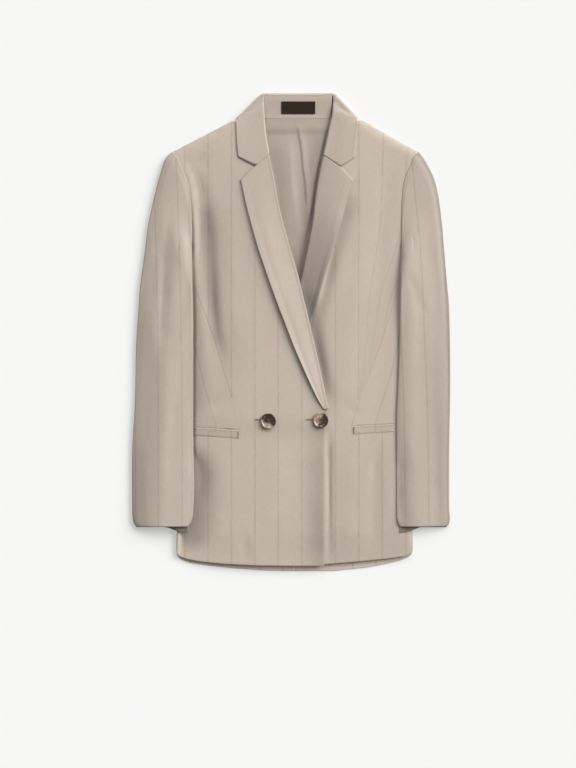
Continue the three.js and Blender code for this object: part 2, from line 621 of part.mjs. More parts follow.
function button(name, [gx, gy]) {
  const x = px(gx);
  const y = py(gy);
  const reach = BUTTON.radius - 1;
  const ring = steps(12).map((t) => {
    const a = t * 2 * Math.PI;
    return frontSurface("right", x + reach * Math.cos(a), y + reach * Math.sin(a));
  });
  const mesh = piece(name, buttonGeometry(), COLOUR.button, 0.3);
  mesh.position.set(x, y, Math.max(...ring) + CLOTH / 2 + SEAM);
  return mesh;
}

const blazer = new THREE.Group();
blazer.add(
  backRight, backLeft, frontRight, frontLeft, ...sleeves, lapelRight, lapelLeft, collarFall, stand,
  innerBack, pocketRight, pocketLeft, label,
  button("button_outer", BUTTON_AT.outer), button("button_inner", BUTTON_AT.inner),
);
export default blazer;
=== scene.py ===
import math

import bpy
import numpy as np
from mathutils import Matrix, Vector


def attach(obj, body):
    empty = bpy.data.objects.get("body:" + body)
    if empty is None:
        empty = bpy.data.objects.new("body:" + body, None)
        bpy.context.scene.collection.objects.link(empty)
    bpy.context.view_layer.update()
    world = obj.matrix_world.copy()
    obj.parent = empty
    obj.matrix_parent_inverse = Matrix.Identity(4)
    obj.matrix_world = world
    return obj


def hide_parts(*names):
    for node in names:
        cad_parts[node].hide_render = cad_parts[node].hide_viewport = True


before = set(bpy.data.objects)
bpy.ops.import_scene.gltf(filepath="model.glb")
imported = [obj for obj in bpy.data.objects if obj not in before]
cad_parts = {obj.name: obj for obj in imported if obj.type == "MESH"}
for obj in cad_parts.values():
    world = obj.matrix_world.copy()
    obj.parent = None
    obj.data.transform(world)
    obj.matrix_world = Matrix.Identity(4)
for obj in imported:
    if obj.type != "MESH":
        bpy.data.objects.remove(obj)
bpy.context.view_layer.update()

GRID = 1.55  # side of one square of the pattern grid, which is a pixel of the photograph
DATUM = (291.03, 332.26)  # pattern square at the origin; pattern x runs right, y runs down
MM = 0.001
CLOTH = 1.5  # thickness of the cloth
SEAM = 0.3  # gap between pieces that are sewn together
FLOOR = CLOTH / 2  # the middle of a wall that lies on the table
SIDE_TOP = 8.2  # the middle of the fronts beside their side fold
SIDE_MID = 4.5  # the side seam
SIDE_ROUND = 8  # the body rounds over to the side seam within this width
LAYER = 2.2  # from a front's middle to that of the cloth folded over it
ROLL = 2  # radius of a rolled edge
UNDERARM = 250
SHOULDER_MID = 3  # the shoulder seam at its outer end
SHOULDER_ROUND = 14
NECK_LIFT = 2  # how much higher the shoulder seam lies at the neck
SLEEVE_HEIGHT = 7
SLEEVE_ROUND = 12
TIP = 0.5  # from the height of a folded seam to the end of each wall's middle
SIDES = ("right", "left")
COLUMN = {"right": 1, "left": 2}
OUTWARD = {"right": -1, "left": 1}

# Pattern lines: y, x of the right side (-X), x of the left side (+X).
SIDE_LINE = [
    [152, 173.5, 417], [158, 177, 414], [166, 180.3, 411], [175, 184, 406.8],
    [185, 187.6, 404], [205, 190.5, 402.3], [222, 191.2, 402], [240, 191.2, 402.6],
    [250, 190.8, 402.8], [262, 188, 405], [275, 184.8, 408], [290, 183, 409.5],
    [330, 183.5, 408.5], [380, 185, 405.5], [420, 184, 406], [470, 180.5, 409],
    [520, 177.5, 412], [556, 176, 413],
]
SLEEVE_OUTER = [
    [152, 172.8, 417.7], [155, 169.3, 420.4], [160, 165.5, 424], [166, 163.3, 427.5], [172, 161.4, 430.6],
    [178, 159.5, 433.2], [190, 156.4, 436.6], [202, 153.5, 438.7], [226, 148.5, 441.6],
    [250, 145.5, 443.6], [286, 140.6, 446.8], [304, 139.3, 448.4], [346, 136.6, 449.5],
    [400, 135.5, 449.5], [448, 132.8, 448.6], [508, 132.6, 448.6], [518, 133, 449.3],
    [523, 134.2, 448.6], [526, 136.6, 446.4],
]
SLEEVE_INNER = [
    [250, 190.8, 402.8], [272, 191, 401.2], [318, 192.5, 399.8], [352, 192.5, 399.4],
    [385, 192.5, 398], [418, 192.8, 396.6], [452, 193.5, 396.6], [485, 194.4, 396.6],
    [508, 193.5, 396.6], [520, 191.9, 397.2], [526, 188.4, 399.6],
]
# Roll line, then front edge below the lapel: y, x.
EDGE = {
    "right": [
        [119, 264.2], [140, 266.6], [160, 269.8], [175, 273], [190, 275.8], [205, 278.3],
        [220, 281.8], [235, 286], [250, 290], [265, 294.6], [280, 298.8], [295, 302.2],
        [310, 306], [325, 309.5], [340, 313], [355, 316.4], [370, 319.8], [385, 323],
        [400, 326], [412, 328.3], [424, 325.2], [440, 324.2], [566, 324],
    ],
    "left": [
        [119, 331.4], [131, 328.8], [154, 324], [173, 319.9], [200, 315.5], [220, 313.2],
        [237, 310.2], [256, 306.3], [278, 301.6], [300, 295], [330, 286.5], [365, 275.5],
        [398, 264.5], [412, 260.5], [424, 261.5], [440, 262], [566, 263],
    ],
}
# Free edge of each lapel: y, x.
LAPEL_EDGE = {
    "right": [
        [181, 241], [190, 243], [205, 246], [220, 250], [235, 254], [250, 258.5], [265, 263.5],
        [280, 268.6], [295, 274], [310, 279.5], [325, 285.4], [340, 291], [355, 297.2],
        [370, 303.8], [385, 310.6], [400, 318], [409, 323.6],
    ],
    "left": [
        [181, 352.5], [190, 350], [205, 345.8], [220, 341.5], [235, 337], [250, 332.6],
        [265, 328], [280, 323.4], [295, 319.2], [310, 315], [335, 307], [365, 294], [390, 279],
        [409, 267.5],
    ],
}
LAPEL_END = 409
GORGE = {
    "right": {"notch": [256.4, 167], "roll": [269.3, 156]},
    "left": {"notch": [340, 168], "roll": [323.4, 156.6]},
}
HEM_FRONT = {
    "right": [
        [324, 565.5], [290, 565.5], [255, 565], [225, 563.5], [200, 561.2],
        [187, 558.9], [180, 556.4], [176.9, 554.2], [176, 551.5],
    ],
    "left": [
        [263, 565.5], [324, 564], [345, 562.4], [366, 560.5], [390, 558],
        [404, 555.9], [409.5, 554], [412.2, 551.8], [413, 549],
    ],
}
HEM_BACK = {
    "right": [
        [294.4, 571], [265, 570.4], [231, 568], [207, 565.4], [190, 562.8],
        [181.5, 559.6], [177.4, 556], [176, 551.5],
    ],
    "left": [
        [294.4, 571], [335, 570.6], [366, 567.4], [386, 563.8], [400, 560.4],
        [408, 557.4], [411.8, 553.8], [413, 549],
    ],
}
CENTRE_BACK = 294.4
NECK_SEAM = 118
SHOULDER = {
    "right": {"neck": [237, 119], "point": [173.5, 152]},
    "left": {"neck": [357, 119], "point": [417, 152]},
}
NECK_TOP = {
    "right": [[243, 121.4], [231.5, 122.2], [173.5, 152]],
    "left": [[349.5, 121.6], [362.6, 121], [417, 152]],
}
FRONT_NECK = {"right": [264.2, 119], "left": [329.4, 119]}
BACK_NECK = {"right": [262, NECK_SEAM], "left": [330, NECK_SEAM]}
POCKET = {
    "right": {"top": [[194.8, 427.9], [239, 430.6]], "bottom": [[194.8, 435.3], [239, 438.2]]},
    "left": {"top": [[353.6, 426.6], [394.6, 424.7]], "bottom": [[353.6, 434.2], [394.6, 431.7]]},
}
LABEL = {"left": 281.4, "right": 315.2, "top": 102.2, "bottom": 114.5, "thick": 0.8}
BUTTON_AT = {"outer": [268.4, 420.9], "inner": [320.5, 420]}
BUTTON = {"radius": 12, "thick": 3.4, "rim": 1.9, "hole": 1.1, "hole_at": 1.714}

# Folds laid into the fronts: pattern points, width to the left, width to the right, height. A trough is
# below zero. Widths and heights are in millimetres.
FRONT_FOLDS = {
    "right": [
        ([[204, 196], [207, 225], [210, 260], [213, 300], [216, 335], [223, 372]], 17, 11, -4.2),
        ([[196, 148], [201, 190], [206, 226]], 16, 14, -1.9),
        ([[228, 190], [231, 250], [234, 310], [240, 350]], 12, 16, 0.8),
        ([[191, 258], [193, 300], [193.6, 352], [193.6, 400], [193.4, 436]], 9, 15, -2.8),
        ([[191, 440], [191.5, 480], [190, 520], [184, 562]], 20, 32, -5.8),
        ([[220, 450], [221, 500], [216, 540]], 12, 18, 0.7),
        ([[327, 436], [327, 500], [326, 556]], 25, 10, 3.4),
        ([[243, 532], [245, 548], [244, 562]], 8, 9, -0.5),
        ([[252, 534], [254, 550], [253, 563]], 8, 9, 0.4),
        ([[270, 440], [276, 486], [272, 530]], 20, 22, 0.8),
        ([[240, 396], [226, 402], [208, 405]], 9, 10, -0.6),
        ([[262, 214], [270, 262], [286, 318]], 18, 12, 0.6),
        ([[187, 150], [196, 162], [205, 180]], 10, 12, 0.8),
    ],
    "left": [
        ([[352, 186], [342, 226], [332, 262], [322.5, 300], [314, 332]], 7, 12, -3.3),
        ([[388, 160], [384, 210], [378, 260], [371, 305]], 12, 13, -0.9),
        ([[362, 210], [360, 270], [352, 330], [346, 388]], 14, 16, 0.8),
        ([[399, 290], [396.5, 360], [396, 440], [397, 500], [398, 556]], 25, 18, 1.9),
        ([[376, 446], [375, 490], [372, 545]], 10, 10, -1.0),
        ([[350, 450], [350, 500], [348, 550]], 14, 16, 0.7),
        ([[335, 395], [345, 408], [362, 414]], 9, 10, -0.4),
    ],
}
# Narrow dips right beside a lying edge: the right sleeve's, and the right front's on the left front.
EDGE_DIPS = {
    "right": [
        ([[186.4, 178], [190.2, 203], [192.2, 230], [192.2, 254], [193.6, 300], [194, 352],
          [194, 436], [194.6, 480], [195, 522]], 4.5, 2.8, -2.6),
    ],
    "left": [
        ([[301, 284], [306, 306], [313, 336], [319, 362], [325, 392], [328, 412]], 14, 13, -5.4),
        ([[328.5, 432], [329.2, 500], [329, 558]], 5, 4.5, -2.3),
    ],
}
SLEEVE_FOLDS = {
    "right": [
        ([[176, 190], [172, 250], [168, 312], [164, 390], [162, 524]], 30, 16, 1.3),
        ([[172, 200], [168, 232], [165, 262]], 7, 11, -0.9),
        ([[165.5, 244], [164.5, 272], [163.5, 300], [162, 350]], 7, 13, -2.3),
        ([[192, 300], [184, 338], [176, 362]], 8, 9, 0.6),
        ([[176, 396], [172, 440], [170, 480]], 10, 10, -0.8),
        ([[188, 452], [182, 486], [180, 520]], 9, 9, 0.6),
        ([[160, 178], [157, 205], [150, 236]], 8, 8, -0.6),
    ],
    "left": [
        ([[421, 178], [426, 240], [430, 312], [432, 390], [430, 522]], 17, 20, 0.8),
        ([[397, 455], [396.5, 496], [399, 524]], 9, 11, -2.2),
        ([[414, 262], [418, 318], [420, 372]], 9, 11, -0.7),
        ([[444, 226], [446, 300], [445, 370]], 8, 8, -0.6),
        ([[408, 272], [416, 300], [426, 316]], 7, 8, -0.7),
        ([[438, 420], [436, 470], [438, 520]], 9, 9, -0.7),
        ([[411, 400], [409, 440], [412, 470]], 8, 8, 0.5),
    ],
}
# The back lies on the table, so its soft folds only rise.
BACK_FOLDS = {
    "right": [
        ([[215, 170], [222, 300], [214, 420], [208, 540]], 9, 12, 0.7),
        ([[262, 330], [258, 440], [262, 556]], 8, 7, 0.5),
        ([[196, 262], [204, 300], [208, 350]], 7, 9, 0.6),
    ],
    "left": [
        ([[372, 170], [366, 300], [374, 420], [380, 540]], 12, 9, 0.7),
        ([[332, 350], [336, 450], [330, 556]], 7, 8, 0.5),
        ([[394, 262], [384, 300], [380, 350]], 9, 7, 0.6),
    ],
}
INNER_FOLDS = [
    ([[270, 140], [273, 180], [284, 240]], 8, 10, -0.6),
    ([[287, 134], [290, 170], [297, 240]], 20, 8, 2.4),
    ([[327, 122], [321.5, 146], [315.7, 172], [311, 205], [306.4, 230]], 12, 2.6, 3.0),
]

# Darts: the sewn line from the armhole toward the pocket.
DART = {
    "right": [[194, 285], [200, 302], [212.5, 335], [225, 375], [231.5, 398]],
    "left": [[399.5, 284], [393.5, 302], [386.5, 324], [378.5, 348], [370.5, 370], [363.5, 388]],
}
STRIPE = 23.3  # pattern squares from stripe to stripe
STRIPE_START = {"right": 208.3, "left": 335.2}
# Stripes beside the dart lean with the cloth: y, x.
LEANING = {
    "right": [[285, 185], [316, 187.5], [353, 196.6], [390, 206], [424, 216]],
    "left": [[300, 405], [361, 394], [402, 381.7], [424, 375]],
}
BENT_LEFT = [[141, 383], [228, 379.5], [258, 375.4], [292, 369.8], [340, 366], [383, 363]]
SLEEVE_STRIPE = {
    "right": [[152, 176], [200, 178], [300, 181], [450, 182.5], [526, 182.5]],
    "left": [[152, 411], [198, 415], [252, 420], [318, 423], [418, 427], [526, 428.3]],
}


def lerp(a, b, t):
    return a + (b - a) * t


def smooth(a, b, x):
    t = np.clip((x - a) / (b - a), 0, 1)
    return t * t * (3 - 2 * t)


def window(start, full, fading, end, x):
    """Rises from start to full and falls again from fading to end."""
    return smooth(start, full, x) * smooth(end, fading, x)


def rounded(q):
    return np.sqrt(1 - (1 - np.clip(q, 0, 1)) ** 2)


def stacked(*parts):
    """The parts side by side in a last axis, such as the coordinates of points."""
    return np.stack(np.broadcast_arrays(*parts), axis=-1)


def both(values):
    """The same values for both coordinates of a UV map."""
    return stacked(values, values)


def px(x):
    return (x - DATUM[0]) * GRID


def py(y):
    return (DATUM[1] - y) * GRID


def pattern_x(x):
    return DATUM[0] + x / GRID


def pattern_y(y):
    return DATUM[1] - y / GRID


def table_at(table, key, column=1):
    """Value of a column of a table at the keys, smooth through the rows."""
    rows = np.asarray(table, float)
    k, v = rows[:, 0], rows[:, column]
    if k[-1] < k[0]:
        k, v = k[::-1], v[::-1]
    key = np.clip(key, k[0], k[-1])
    last = len(k) - 1
    after = np.minimum(np.arange(last + 1) + 1, last)
    before = np.maximum(np.arange(last + 1) - 1, 0)
    slope = (v[after] - v[before]) / (k[after] - k[before])
    i = np.clip(np.searchsorted(k, key), 1, last)
    h = k[i] - k[i - 1]
    t = (key - k[i - 1]) / h
    s = 1 - t
    return (
        v[i - 1] * (1 + 2 * t) * s * s + v[i] * (3 - 2 * t) * t * t
        + h * slope[i - 1] * t * s * s - h * slope[i] * t * t * s
    )


def along(points, share):
    """Points of a line at shares of its length."""
    p = np.asarray(points, float)
    run = np.concatenate([[0], np.cumsum(np.hypot(*np.diff(p, axis=0).T))])
    share = np.clip(share, 0, 1) * run[-1]
    return stacked(np.interp(share, run, p[:, 0]), np.interp(share, run, p[:, 1]))


def beside(points, x, y):
    """Offset from a pattern line, to the right of one that runs down, and the share along it."""
    p = np.array([[px(a), py(b)] for a, b in points])
    lengths = np.hypot(*np.diff(p, axis=0).T)
    nearest = np.full(np.shape(x), np.inf)
    offset, run = np.zeros(np.shape(x)), np.zeros(np.shape(x))
    start = 0
    for a, b, length in zip(p[:-1], p[1:], lengths):
        dx, dy = (b - a) / length
        t = np.clip((x - a[0]) * dx + (y - a[1]) * dy, 0, length)
        distance = np.hypot(x - a[0] - t * dx, y - a[1] - t * dy)
        side = np.where((y - a[1]) * dx - (x - a[0]) * dy < 0, -1, 1)
        closer = distance < nearest
        nearest = np.where(closer, distance, nearest)
        offset = np.where(closer, side * distance, offset)
        run = np.where(closer, start + t, run)
        start += length
    return offset, run / start


def folded(table, x, y):
    """Height that soft folds add at points of the cloth."""
    z = np.zeros(np.shape(x))
    for k, (points, left, right, height) in enumerate(table):
        offset, share = beside(points, x, y)
        width = np.where(offset < 0, left, right) * (1 + 0.18 * np.sin(7 * share + k))
        uneven = 1 + 0.22 * np.sin(4.3 * share + 1.7 * k) + 0.1 * np.sin(13 * share + k)
        taper = window(0, 0.22, 0.8, 1, share)
        z += height * uneven * (0.25 + 0.75 * taper) * np.exp(-((offset / width) ** 2))
    return z


NEAR_NECK = (py(136), py(128))
UNDERARM_FADE = 15


def in_from_side(side, x, y):
    return (px(table_at(SIDE_LINE, pattern_y(y), COLUMN[side])) - x) * OUTWARD[side]


def below_shoulder(side, x, y):
    neck, point = SHOULDER[side]["neck"], SHOULDER[side]["point"]
    run, rise = px(neck[0]) - px(point[0]), py(neck[1]) - py(point[1])
    line_y = py(point[1]) + (x - px(point[0])) * rise / run
    return (line_y - y) * abs(run) / math.hypot(run, rise)


def near_neck(y):
    return smooth(*NEAR_NECK, y)


def below_underarm(y):
    return 1 - smooth(0, UNDERARM_FADE, y - py(UNDERARM))


HEM_DROP = 2.8  # the hem lies this much lower
HEM_FALL = (py(528), py(564))
# The crown of the fronts over the chest: y, height.
CHEST = [
    [py(566), 1.2], [py(480), 2.2], [py(400), 3], [py(300), 4.2], [py(220), 4.5], [py(160), 3], [py(119), 1],
]
CHEST_REACH = 110  # the chest has its full height this far in from the side


def to_seams(side, x, y, top, tip):
    """Height of a wall of the body that ends a tip away from its side seam and shoulder seam."""
    at_side = below_underarm(y) * (1 - rounded(in_from_side(side, x, y) / SIDE_ROUND))
    seam = SHOULDER_MID + NECK_LIFT * near_neck(y) + tip
    off_seam = rounded(below_shoulder(side, x, y) / SHOULDER_ROUND)
    return lerp(seam, lerp(top, SIDE_MID + tip, at_side), off_seam)


def front_height(side, x, y):
    crown = table_at(CHEST, y) * smooth(0, CHEST_REACH, in_from_side(side, x, y))
    return to_seams(side, x, y, SIDE_TOP + crown - HEM_DROP * smooth(*HEM_FALL, y), TIP)


OVERLAP_LAYERS = 1.05
LAPEL_BETWEEN = (440, 415)  # pattern y: above this the left lapel lies between the fronts
OVERLAP_RISE = (-150, -40)  # from the left front's edge


def overlap_lift(x, y):
    """How much higher the right front lies where it laps the left one."""
    reach = x - px(table_at(EDGE["left"], pattern_y(y)))
    layers = OVERLAP_LAYERS + smooth(*LAPEL_BETWEEN, pattern_y(y))
    return LAYER * layers * smooth(*OVERLAP_RISE, reach)


# Millimetres in from a seam or an edge where the folds start, and where they are full.
FOLDS_FROM = 2
SIDE_WIDTHS = (8, 16)  # at the hem and above it
ABOVE_HEM = (py(530), py(470))
SHOULDER_WIDTH = 22
OVERLAP_FADE = (-4, 26)
BACK_FADE = {"side": (14, 30), "shoulder": (14, 40)}


def front_folds(side, x, y):
    """The folds fade out at the side seam, the shoulder and the overlap. The dips don't."""
    side_width = lerp(*SIDE_WIDTHS, smooth(*ABOVE_HEM, y))
    free = smooth(FOLDS_FROM, side_width, in_from_side(side, x, y))
    free = free * smooth(FOLDS_FROM, SHOULDER_WIDTH, below_shoulder(side, x, y))
    if side == "left":
        free = free * smooth(*OVERLAP_FADE, x - px(table_at(EDGE["right"], pattern_y(y))))
    return folded(FRONT_FOLDS[side], x, y) * free + folded(EDGE_DIPS[side], x, y)


MOUTH = {"above": 0.8, "width": 1.0, "depth": 0.6}
GAPE = (0.62, 0.7, 0.86, 0.93)  # shares of the right welt where its mouth stands 1 mm further open


def pocket_mouth(side, x, y):
    """The narrow groove above the welt, where the pocket opens."""
    offset, share = beside([[gx, gy - MOUTH["above"]] for gx, gy in POCKET[side]["top"]], x, y)
    depth = MOUTH["depth"] + (window(*GAPE, share) if side == "right" else 0)
    return -depth * window(0, 0.05, 0.95, 1, share) * np.exp(-((offset / MOUTH["width"]) ** 2))


OVER_BACK = FLOOR + CLOTH + SEAM + 0.3  # the fronts stay above the back
SOFTLY = 0.1  # how softly they come to rest there


def front_surface(side, x, y):
    z = front_height(side, x, y) + front_folds(side, x, y) + pocket_mouth(side, x, y)
    z = (z + OVER_BACK + np.sqrt((z - OVER_BACK) ** 2 + SOFTLY)) / 2
    return z + overlap_lift(x, y) if side == "right" else z


def back_surface(side, x, y):
    free = smooth(*BACK_FADE["side"], in_from_side(side, x, y))
    free = free * smooth(*BACK_FADE["shoulder"], below_shoulder(side, x, y))
    flat = FLOOR + NECK_LIFT * near_neck(y) + folded(BACK_FOLDS[side], x, y) * free
    return to_seams(side, x, y, flat, -TIP)


# Meshes

def graded(count, near_start=(), near_end=()):
    """Shares from 0 to 1, closer together near the ends: distances in from each end."""
    extra = [*near_start, *[1 - s for s in near_end]]
    return np.unique(np.concatenate([np.linspace(0, 1, count), extra]).round(6))


def between(inner, outer, bottom, top, us, vs):
    """Points between four lines, rows by columns."""
    u, v = us[None, :, None], vs[:, None, None]
    corners = lerp(lerp(inner[0], outer[0], u), lerp(inner[-1], outer[-1], u), v)
    return lerp(inner[:, None], outer[:, None], u) + lerp(bottom[None], top[None], v) - corners


def surface_points(place, height):
    x, y = px(place[..., 0]), py(place[..., 1])
    return stacked(x, y, height(x, y))


def unit(v):
    return v / np.maximum(np.linalg.norm(v, axis=-1, keepdims=True), 1e-9)


def grid_normals(mid):
    padded = np.pad(mid, ((1, 1), (1, 1), (0, 0)), mode="edge")
    across = padded[1:-1, 2:] - padded[1:-1, :-2]
    upward = padded[2:, 1:-1] - padded[:-2, 1:-1]
    return unit(np.cross(across, upward))


def grid_size(mid):
    """Greatest width and length along the cloth and its area, in metres."""
    width = np.linalg.norm(np.diff(mid, axis=1), axis=-1).sum(axis=1).max() * MM
    length = np.linalg.norm(np.diff(mid, axis=0), axis=-1).sum(axis=0).max() * MM
    a, b, c, d = mid[:-1, :-1], mid[:-1, 1:], mid[1:, 1:], mid[1:, :-1]
    area = np.linalg.norm(np.cross(c - a, d - b), axis=-1).sum() / 2 * MM * MM
    return width, length, area


def mesh_object(name, verts, faces, materials, slots=None):
    """verts in millimetres."""
    mesh = bpy.data.meshes.new(name)
    mesh.from_pydata((np.asarray(verts, float) * MM).tolist(), [], [list(map(int, f)) for f in faces])
    for material in materials:
        mesh.materials.append(material)
    if slots is not None:
        mesh.polygons.foreach_set("material_index", np.asarray(slots, np.int32))
    mesh.polygons.foreach_set("use_smooth", [True] * len(mesh.polygons))
    mesh.validate()
    mesh.update()
    made = bpy.data.objects.new(name, mesh)
    bpy.context.scene.collection.objects.link(made)
    return made


EDGE_THIN = [0.42, 0.84]  # share of the thickness at the rim and one step in from it


def shell(name, mid, material, layers, thick=CLOTH, flip=False, flush=(), upper_face=None):
    """A closed thin wall about a grid of middle points. layers are coordinates kept as UV maps.

    The rim is thinned, except at the seams named in flush: first or last row, start or end of the rows.
    upper_face is the material of the upper face where it differs.
    """
    nr, nc = mid.shape[:2]
    i, j = np.meshgrid(np.arange(nr), np.arange(nc), indexing="ij")
    steps_in = {"first": i, "last": nr - 1 - i, "start": j, "end": nc - 1 - j}
    thinned = [steps for rim, steps in steps_in.items() if rim not in flush]
    inward = np.minimum.reduce([np.full((nr, nc), len(EDGE_THIN)), *thinned])
    if flip:
        mid, inward = mid[:, ::-1], inward[:, ::-1]
        layers = {k: v[:, ::-1] for k, v in layers.items()}
    normal = grid_normals(mid)
    half = thick / 2 * np.select([inward == 0, inward == 1], EDGE_THIN, 1.0)[..., None]
    verts = np.concatenate([(mid + normal * half).reshape(-1, 3), (mid - normal * half).reshape(-1, 3)])
    index = np.arange(nr * nc).reshape(nr, nc)
    quads = stacked(index[:-1, :-1], index[:-1, 1:], index[1:, 1:], index[1:, :-1]).reshape(-1, 4)
    ring = np.concatenate([index[0, :-1], index[:-1, -1], index[-1, :0:-1], index[:0:-1, 0]])
    following = np.roll(ring, -1)
    lower = nr * nc
    rim = stacked(ring + lower, following + lower, following, ring)
    faces = np.concatenate([quads, quads[:, ::-1] + lower, rim])
    slots = np.zeros(len(faces), np.int32)
    slots[:len(quads)] = 1 if upper_face else 0
    made = mesh_object(name, verts, faces, [material, upper_face] if upper_face else [material], slots)
    loops = np.empty(len(made.data.loops), np.int32)
    made.data.loops.foreach_get("vertex_index", loops)
    for layer, values in layers.items():
        flat = np.asarray(values, float).reshape(-1, 2)
        uv = made.data.uv_layers.new(name=layer)
        uv.data.foreach_set("uv", np.concatenate([flat, flat])[loops].ravel())
    return made


def grain(mid, line):
    """Coordinates along the cloth in metres: across from the first stripe, and up the warp."""
    return stacked(line * STRIPE * GRID * MM, mid[..., 1] * MM)


# Materials

class Nodes:
    """Short calls that build a node tree."""

    def __init__(self, name):
        self.material = bpy.data.materials.new(name)
        self.material.use_nodes = True
        self.tree = self.material.node_tree
        self.shader = self.tree.nodes["Principled BSDF"]

    def put(self, socket, value):
        if isinstance(value, bpy.types.NodeSocket):
            self.tree.links.new(value, socket)
        else:
            socket.default_value = value

    def add(self, kind, inputs, output=0, **settings):
        """The output of a new node. inputs go by name or number."""
        node = self.tree.nodes.new(f"ShaderNode{kind}")
        for setting, value in settings.items():
            setattr(node, setting, value)
        for key, value in inputs.items():
            self.put(node.inputs[key], value)
        return node.outputs[output]

    def math(self, operation, *values):
        return self.add("Math", dict(enumerate(values)), operation=operation)

    def plus(self, a, b):
        return self.math("ADD", a, b)

    def times(self, a, b):
        return self.math("MULTIPLY", a, b)

    def less(self, a, b):
        return self.math("SUBTRACT", a, b)

    def wave(self, value, factor):
        return self.math("SINE", self.times(value, factor))

    def part(self, vector, axis):
        return self.add("SeparateXYZ", {0: vector}, axis)

    def uv(self, layer):
        vector = self.add("UVMap", {}, uv_map=layer)
        return vector, self.part(vector, 0), self.part(vector, 1)

    def position(self):
        return self.add("TexCoord", {}, "Object")

    def noise(self, vector, scale, detail=2.0, rough=0.5):
        inputs = {"Vector": vector, "Scale": scale, "Detail": detail, "Roughness": rough}
        return self.add("TexNoise", inputs, "Fac")

    def drawn_out(self, vector, scale, noise_scale=1, detail=2, rough=0.5):
        """Noise that is scaled by its own measure along each axis, such as a thread."""
        return self.noise(self.add("Mapping", {"Vector": vector, "Scale": scale}), noise_scale, detail, rough)

    def between(self, value, *ends):
        """A smooth step. ends are low, high and, where they aren't 0 and 1, what they turn into."""
        return self.add("MapRange", dict(enumerate((value, *ends))), interpolation_type="SMOOTHSTEP")

    def mix(self, share, a, b):
        return self.add("Mix", {"Factor": share, 6: a, 7: b}, 2, data_type="RGBA")

    def tint(self, colour, factor):
        """The colour times a number."""
        return self.add("VectorMath", {0: colour, "Scale": factor}, operation="SCALE")

    def bump(self, height, distance, strength=1.0, normal=None):
        under = {} if normal is None else {"Normal": normal}
        return self.add("Bump", {"Strength": strength, "Distance": distance, "Height": height, **under})

    def dimmed(self, shade, share, amount):
        """The shade less an amount where the share is 1."""
        return self.times(shade, self.less(1, self.times(share, amount)))

    def sewn(self, shade, normal, share, amount):
        """Shade and normal with a sewn groove pressed in where the share is 1, and painted shade in the
        groove.
        """
        pressed = self.bump(self.less(0, share), SEWN_DEPTH, 1.0, normal)
        return self.dimmed(shade, share, amount), pressed

    def finish(self, looks):
        for look, value in looks.items():
            self.put(self.shader.inputs[look], value)
        return self.material


SEWN_DEPTH = 0.0002
CLOTH_COLOUR = (0.545, 0.467, 0.398)
STRIPE_HALF = 0.0013
STRIPE_TINT = (0.87, 0.845, 0.825)  # of the cloth's colour
STRIPE_METRES = STRIPE * GRID * MM
TWILL = 0.0011
WARP, WEFT = (1500, 90, 1), (110, 1700, 1)  # how fine the threads are, across and along
CLOTH_LOOKS = {
    "Roughness": 0.82, "Specular IOR Level": 0.22,
    "Sheen Weight": 0.12, "Sheen Roughness": 0.5, "Sheen Tint": (0.95, 0.88, 0.8, 1),
}
SATIN_LOOKS = {"Roughness": 0.6, "Specular IOR Level": 0.15}
HORN_LOOKS = {"Roughness": 0.2, "Coat Weight": 0.4, "Coat Roughness": 0.08}
PRICK = {"half": (0.15, 0.7), "step": 5.5, "drawn": (0.3, 0.38)}  # width, spacing and the length that shows


def twill(n, vector, u, v):
    """Shade and height of the weave: clouds, uneven threads both ways, and the diagonal rib."""
    cloud = n.noise(n.position(), 9, 3)
    slub = n.drawn_out(vector, WARP, rough=0.6)
    shade = n.plus(n.between(cloud, 0.3, 0.7, 0.978, 1.018), n.between(slub, 0.2, 0.8, -0.05, 0.05))
    shade = n.plus(shade, n.between(n.drawn_out(vector, WEFT, rough=0.6), 0.2, 0.8, -0.035, 0.035))
    rib = n.wave(n.math("FRACT", n.math("DIVIDE", n.plus(u, v), TWILL)), math.pi)
    shade = n.times(shade, n.between(rib, 0, 1, 0.93, 1.02))
    return shade, n.math("MULTIPLY_ADD", slub, 0.5, n.times(rib, 0.7))


def pinstripe(n, vector, u):
    """Where the stripes lie, a little worn."""
    off = n.less(n.math("FRACT", n.plus(n.math("DIVIDE", u, STRIPE_METRES), 0.5)), 0.5)
    distance = n.times(n.math("ABSOLUTE", off), STRIPE_METRES)
    line = n.between(distance, STRIPE_HALF * 0.55, STRIPE_HALF * 1.5, 1, 0)
    return n.times(line, n.between(n.noise(vector, 60, 2), 0.3, 0.7, 0.5, 1))


